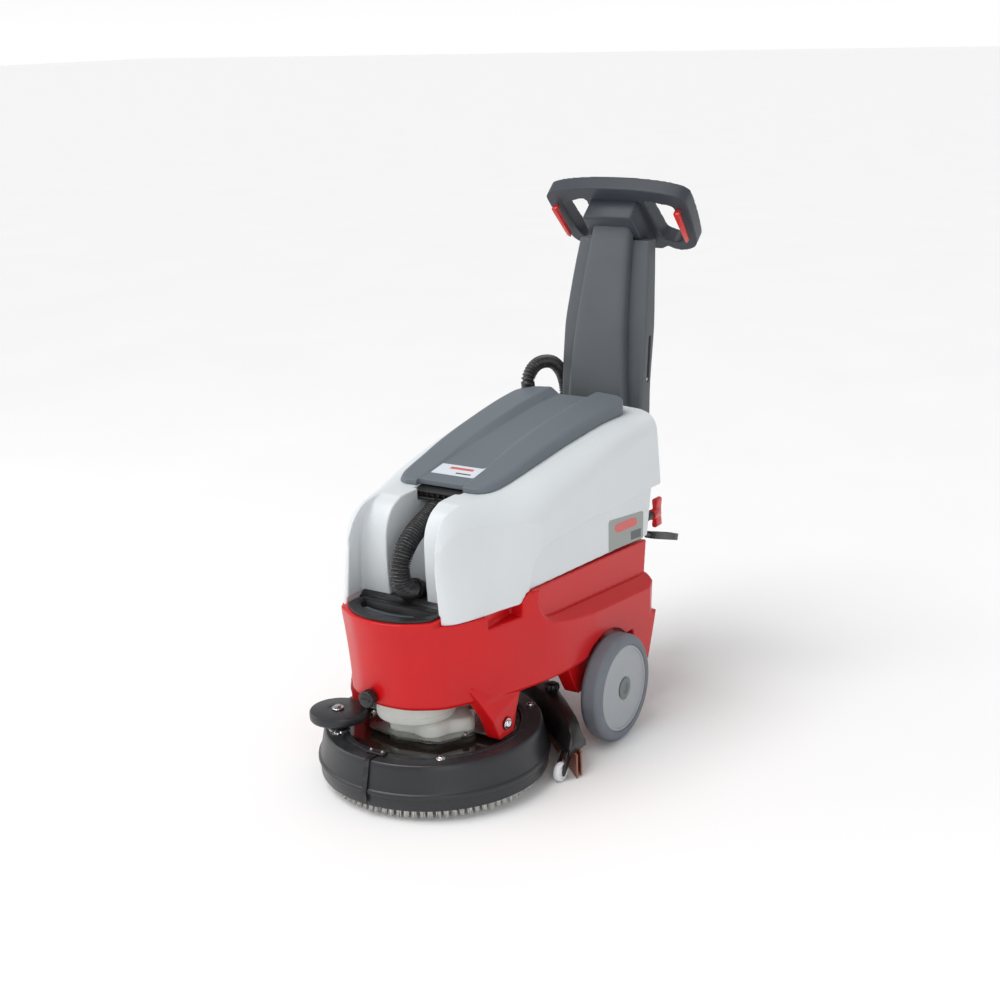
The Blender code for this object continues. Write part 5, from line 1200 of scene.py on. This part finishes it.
def make_squeegee():
    halves = [(0, 0.048), (0.14, 0.043), (0.2, 0.041), (0.262, 0.033)]
    tops = [(0, 0.1), (0.06, 0.101), (0.13, 0.11), (0.2, 0.108), (0.25, 0.098), (0.266, 0.072)]
    stations = [-0.266 + 0.532 * i / 56 for i in range(57)]
    obj = raw("squeegee_shell", loft([squeegee_section(x, halves, tops) for x in stations]))
    tools = [(JOIN, cylinder(0.0158, 0.34, 0.43, (0, 0, 0.082), "y", 40))]
    # Pockets between the ribs of the rear face.
    for side in (-1, 1):
        for k in range(5):
            x = side * (0.058 + 0.038 * k)
            y = sweep_y(x) + flow(abs(x), halves) * 0.85
            pocket = box((x - 0.013, y - 0.006, 0.058), (x + 0.013, y + 0.02, 0.074))
            tools.append((CUT, pocket))
        x = side * SUPPORT_X
        for offset in (-0.0085, 0.0085):
            cheek = fair([(0.08, 0.013), (0.09, 0.014), (0.114, 0.048), (0.124, 0.058)], 4)
            tools.append((JOIN, prism(cheek + [(0.1, 0.058), (0.079, 0.025)], "x",
                                      x + offset - 0.001, x + offset + 0.001)))
        tools.append((JOIN, cylinder(0.003, x - 0.009, x + 0.009, (0, 0.085, 0.02), "x", 24)))
    carve(obj, tools)
    bevel(obj, 0.0009, 2, 50)
    place(obj, BLACK, "squeegee", ["squeegee_body"], "black_plastic", 40)
    for name, offset in (("front", -0.014), ("rear", 0.01)):
        rings = []
        for i in range(49):
            x = -0.275 + 0.55 * i / 48
            y = sweep_y(x) + offset * (1 - 0.3 * abs(x) / 0.275)
            rings.append([(x, y - 0.003, 0.0008), (x, y - 0.0022, 0.0), (x, y + 0.0022, 0.0),
                          (x, y + 0.003, 0.0008), (x, y + 0.003, 0.0516), (x, y - 0.003, 0.0516)])
        obj = raw("blade_" + name, loft(rings))
        place(obj, BLADE, "squeegee", ["squeegee_blade_" + name], "blade", 40)
    for name, side in SIDES:
        low = 0.1107
        spot = (side * KNOB_X, sweep_y(KNOB_X), 0)
        knob = [(0, 0.08), (0.0044, 0.08), (0.0044, low), (0.0135, low), (0.0155, low + 0.002),
                (0.0168, low + 0.006), (0.0168, low + 0.012), (0.015, low + 0.0155),
                (0.01, low + 0.0172), (0, low + 0.0172)]
        bm = turned(knob, spot, "z", 80)
        for vert in bm.verts:
            spread = Vector((vert.co.x - spot[0], vert.co.y - spot[1], 0))
            if spread.length > 0.013:
                turn = math.atan2(spread.y, spread.x)
                vert.co -= spread * 0.1 * max(0.0, math.cos(5 * turn)) ** 2
        place(raw("knob_star_" + name, bm), BLACK, "knob_" + name, ["squeegee_knob_" + name],
              "black_plastic", 40)
        centre = (side * SUPPORT_X, 0.085, 0.02)
        wheel = [(0.0035, -0.007), (0.008, -0.007), (0.009, -0.0052), (0.015, -0.0052),
                 (0.016, -0.007), (0.0175, -0.0066), (0.0192, -0.0045), (0.02, -0.0015),
                 (0.02, 0.0015), (0.0192, 0.0045), (0.0175, 0.0066), (0.016, 0.007),
                 (0.015, 0.0052), (0.009, 0.0052), (0.008, 0.007), (0.0035, 0.007)]
        place(raw("roller_nylon_" + name, turned(wheel, centre, "x", 56)), NYLON, "support_" + name,
              ["support_wheel_" + name], "roller_nylon", 35)


make_squeegee()

# ---- column -------------------------------------------------------------------------------------

COLUMN_FRONT = [(0.38, 0.735), (0.5, 0.712), (0.64, 0.706), (0.79, 0.722), (0.9, 0.746),
                (1.0, 0.772), (1.08, 0.797)]
COLUMN_REAR = [(0.38, 0.765), (0.5, 0.7585), (0.64, 0.757), (0.79, 0.775), (0.965, 0.808), (1.05, 0.83)]
COLUMN_WIDE = [(0.38, 0.055), (0.5, 0.095), (0.64, 0.105), (0.79, 0.106), (0.9, 0.099),
               (1.0, 0.089), (1.05, 0.083)]


def round_corner(x, y, radius, start):
    """Quarter circle of the section's outline, whose outer corner is at x, y."""
    cx = x - radius
    cy = y + radius if start == -90 else y - radius
    return [(cx + radius * math.cos(math.radians(start + 90 * k / 5)),
             cy + radius * math.sin(math.radians(start + 90 * k / 5))) for k in range(6)]


def make_column():
    levels = [0.38 + 0.62 * i / 40 for i in range(41)]
    rings = []
    for z in levels:
        wide, front, rear = flow(z, COLUMN_WIDE), flow(z, COLUMN_FRONT), flow(z, COLUMN_REAR)
        deep = (rear - front) * 0.42
        half = [(0, front)] + round_corner(wide, front, min(0.007, deep), -90)
        half += round_corner(wide, rear, min(0.013, deep), 0) + [(0, rear)]
        rings.append([(x, y, z) for x, y in mirrored(half)])
    obj = raw("column_shell", loft(rings))
    slot = []
    for centre, radius, start in (((0.7365, 0.69), 0.0062, 180), ((0.7465, 0.785), 0.0062, 0)):
        for k in range(9):
            turn = math.radians(start + 180 * k / 8)
            slot.append((centre[0] + radius * math.cos(turn), centre[1] + radius * math.sin(turn)))
    tools = []
    for side in (-1, 1):
        tools.append((CUT, prism(slot, "x", side * 0.094, side * 0.12)))
    carve(obj, tools)
    place(obj, STONE, "chassis", ["column_housing"], "slate_cover", 32)
    bm = bmesh.new()
    for side in (-1, 1):
        dome_bolt(bm, (side * 0.0995, 0.7367, 0.691), "x", 0.0042, side)
    place(raw("column_screws", bm), CHROME, "chassis", (), "steel", 35)
    rings = []
    for z in [0.555 + 0.517 * i / 30 for i in range(31)]:
        wide = flow(z, [(0.55, 0.075), (0.64, 0.072), (0.9, 0.056), (1.06, 0.046)])
        back = flow(z, COLUMN_FRONT) - GAP
        depth = flow(z, [(0.55, 0.034), (0.64, 0.033), (0.9, 0.03), (1.0, 0.026), (1.06, 0.024)])
        close = min(1.0, (z - 0.555) / 0.01 + 0.55)
        front = back + GAP - depth * close
        half = [(0, front), (wide * 0.5, front + 0.0002)] + round_corner(wide, front, 0.012, -90)
        half += [(wide + 0.001, back), (0, back)]
        rings.append([(x, y, z) for x, y in mirrored(half)])
    obj = raw("cover_shell", loft(rings))
    bevel(obj, 0.0016, 2, 50)
    place(obj, STONE, "chassis", ["column_cover"], "slate_cover", 32)


make_column()

# ---- yoke and controls --------------------------------------------------------------------------

YOKE_SLOPE = math.radians(48)
YOKE_HALF_THICK = 0.0182
YOKE_MIDDLE = Vector((0, 0.768, 1.122))
YOKE_HALF = [(0, -0.008), (0.06, -0.006), (0.12, 0.001), (0.16, 0.011), (0.174, 0.021),
             (0.18, 0.038), (0.175, 0.1), (0.166, 0.155), (0.16, 0.172), (0.148, 0.184),
             (0.125, 0.192), (0.104, 0.191), (0.085, 0.182)]
HAND_HOLE = [(0.074, 0.037), (0.115, 0.039), (0.136, 0.044), (0.143, 0.056), (0.141, 0.11),
             (0.134, 0.15), (0.12, 0.163), (0.1, 0.16), (0.078, 0.136)]


def on_yoke(bm):
    """Turn a shape drawn in the yoke's own plane (x, down the slope, normal) into place."""
    down = Vector((0, math.cos(YOKE_SLOPE), -math.sin(YOKE_SLOPE)))
    normal = Vector((0, math.sin(YOKE_SLOPE), math.cos(YOKE_SLOPE)))
    for vert in bm.verts:
        x, along_slope, out = vert.co
        vert.co = YOKE_MIDDLE + Vector((x, 0, 0)) + down * along_slope + normal * out
    return bm


def closed_fair(points, steps):
    """Smooth closed outline through the points."""
    wrapped = list(points[-2:]) + list(points) + list(points[:2])
    return fair(wrapped, steps)[2 * steps:-2 * steps - 1]


def make_yoke():
    outline = mirrored(fair(YOKE_HALF, 5, True) + [(0.066, 0.192), (0, 0.192)])
    obj = raw("yoke_moulding", on_yoke(prism(outline, "z", -YOKE_HALF_THICK, YOKE_HALF_THICK)))
    tools = []
    for side in (-1, 1):
        hole = closed_fair([(side * x, v) for x, v in HAND_HOLE], 4)
        tools.append((CUT, on_yoke(prism(hole, "z", -0.06, 0.06))))
    carve(obj, tools)
    remesh(obj, 0.0019, 4)
    place(obj, DUSK, "chassis", ["handle_yoke"], "dark_plastic")
    head = mirrored([(0, 0.03), (0.058, 0.03), (0.063, 0.035), (0.064, 0.045), (0.064, 0.15),
                     (0.056, 0.172), (0, 0.172)])
    obj = raw("head_moulding", on_yoke(prism(head, "z", -0.07, -0.015)))
    bevel(obj, 0.006, 4)
    place(obj, DUSK, "chassis", ["column_head"], "black_plastic", 35)
    panel = mirrored([(0, 0.026), (0.05, 0.026), (0.056, 0.029), (0.058, 0.034), (0.058, 0.158),
                      (0.056, 0.163), (0.05, 0.166), (0, 0.166)])
    obj = raw("panel_moulding", on_yoke(prism(panel, "z", 0.015, 0.034)))
    carve(obj, [(CUT, on_yoke(cylinder(0.0092, 0.024, 0.044, (x, v, 0), "z", 40)))
                for x, v in ((-0.025, 0.075), (0.025, 0.075), (0.0, 0.122))])
    bevel(obj, 0.0024)
    place(obj, BLACK, "chassis", ["control_panel"], "black_plastic", 35)
    for name, x, v, body, node in (("brush_cap", -0.025, 0.075, "button_brush", "brush_button"),
                                   ("vacuum_cap", 0.025, 0.075, "button_vacuum", "vacuum_button")):
        cap = [(0, 0.0275), (0.0087, 0.0275), (0.0087, 0.0372), (0.008, 0.0382), (0.006, 0.0385),
               (0.005, 0.038), (0, 0.0378)]
        obj = raw(name, on_yoke(turned(cap, (x, v, 0), "z", 48)))
        place(obj, CAP, body, [node], "switch_cap", 35)
    key = [(0, 0.0245), (0.0087, 0.0245), (0.0087, 0.0376), (0.0078, 0.0385), (0, 0.0385)]
    obj = raw("key_barrel", on_yoke(turned(key, (0, 0.122, 0), "z", 48)))
    carve(obj, [(JOIN, on_yoke(box((-0.0012, 0.115, 0.037), (0.0012, 0.129, 0.05))))])
    bevel(obj, 0.0005, 2)
    place(obj, CHROME, "key", ["key_switch"], "steel", 35)
    for name, side in SIDES:
        trigger = closed_fair([(side * x, v) for x, v in ((0.151, 0.046), (0.164, 0.047), (0.158, 0.138),
                                                          (0.151, 0.143), (0.144, 0.136))], 1)
        obj = raw("squeeze_lever_" + name, on_yoke(prism(trigger, "z", -0.0385, -0.0285)))
        low, high = (side * 0.157 - 0.004, 0.048, -0.034), (side * 0.157 + 0.004, 0.056, -0.021)
        carve(obj, [(JOIN, on_yoke(box(low, high)))])
        bevel(obj, 0.0022)
        place(obj, SIGNAL, "squeeze_" + name, ["trigger_" + name], "signal_red", 40)


make_yoke()

# ---- materials of the frame's own nodes ---------------------------------------------------------

KEPT = {
    BATTERY: ("battery_front", "battery_rear"),
    CAST: ("vacuum_motor", "drive_hub"),
    BLACK: ("solution_valve", "deck_strap", "brush_block", "tap_stem"),
    STEEL: ("rear_bracket", "axle_left", "axle_right", "squeegee_hanger", "tilt_frame", "squeegee_arms",
            "lid_hinge_pin"),
    RUBBER: ("lid_gasket",),
}
for finish, names in KEPT.items():
    for name in names:
        solid = bpy.data.objects[name]
        solid.data.materials.clear()
        solid.data.materials.append(finish)

# ---- floor --------------------------------------------------------------------------------------

floor_mesh = bpy.data.meshes.new("floor")
floor_mesh.from_pydata([(-60, -60, 0), (60, -60, 0), (60, 60, 0), (-60, 60, 0)], [], [(0, 1, 2, 3)])
floor = bpy.data.objects.new("floor", floor_mesh)
floor.location.z = -0.0005
bpy.context.scene.collection.objects.link(floor)
floor_mesh.materials.append(material("pale_floor", (251, 251, 251), 0.6, 0.04, 0.006, 60, 0.002, 2))
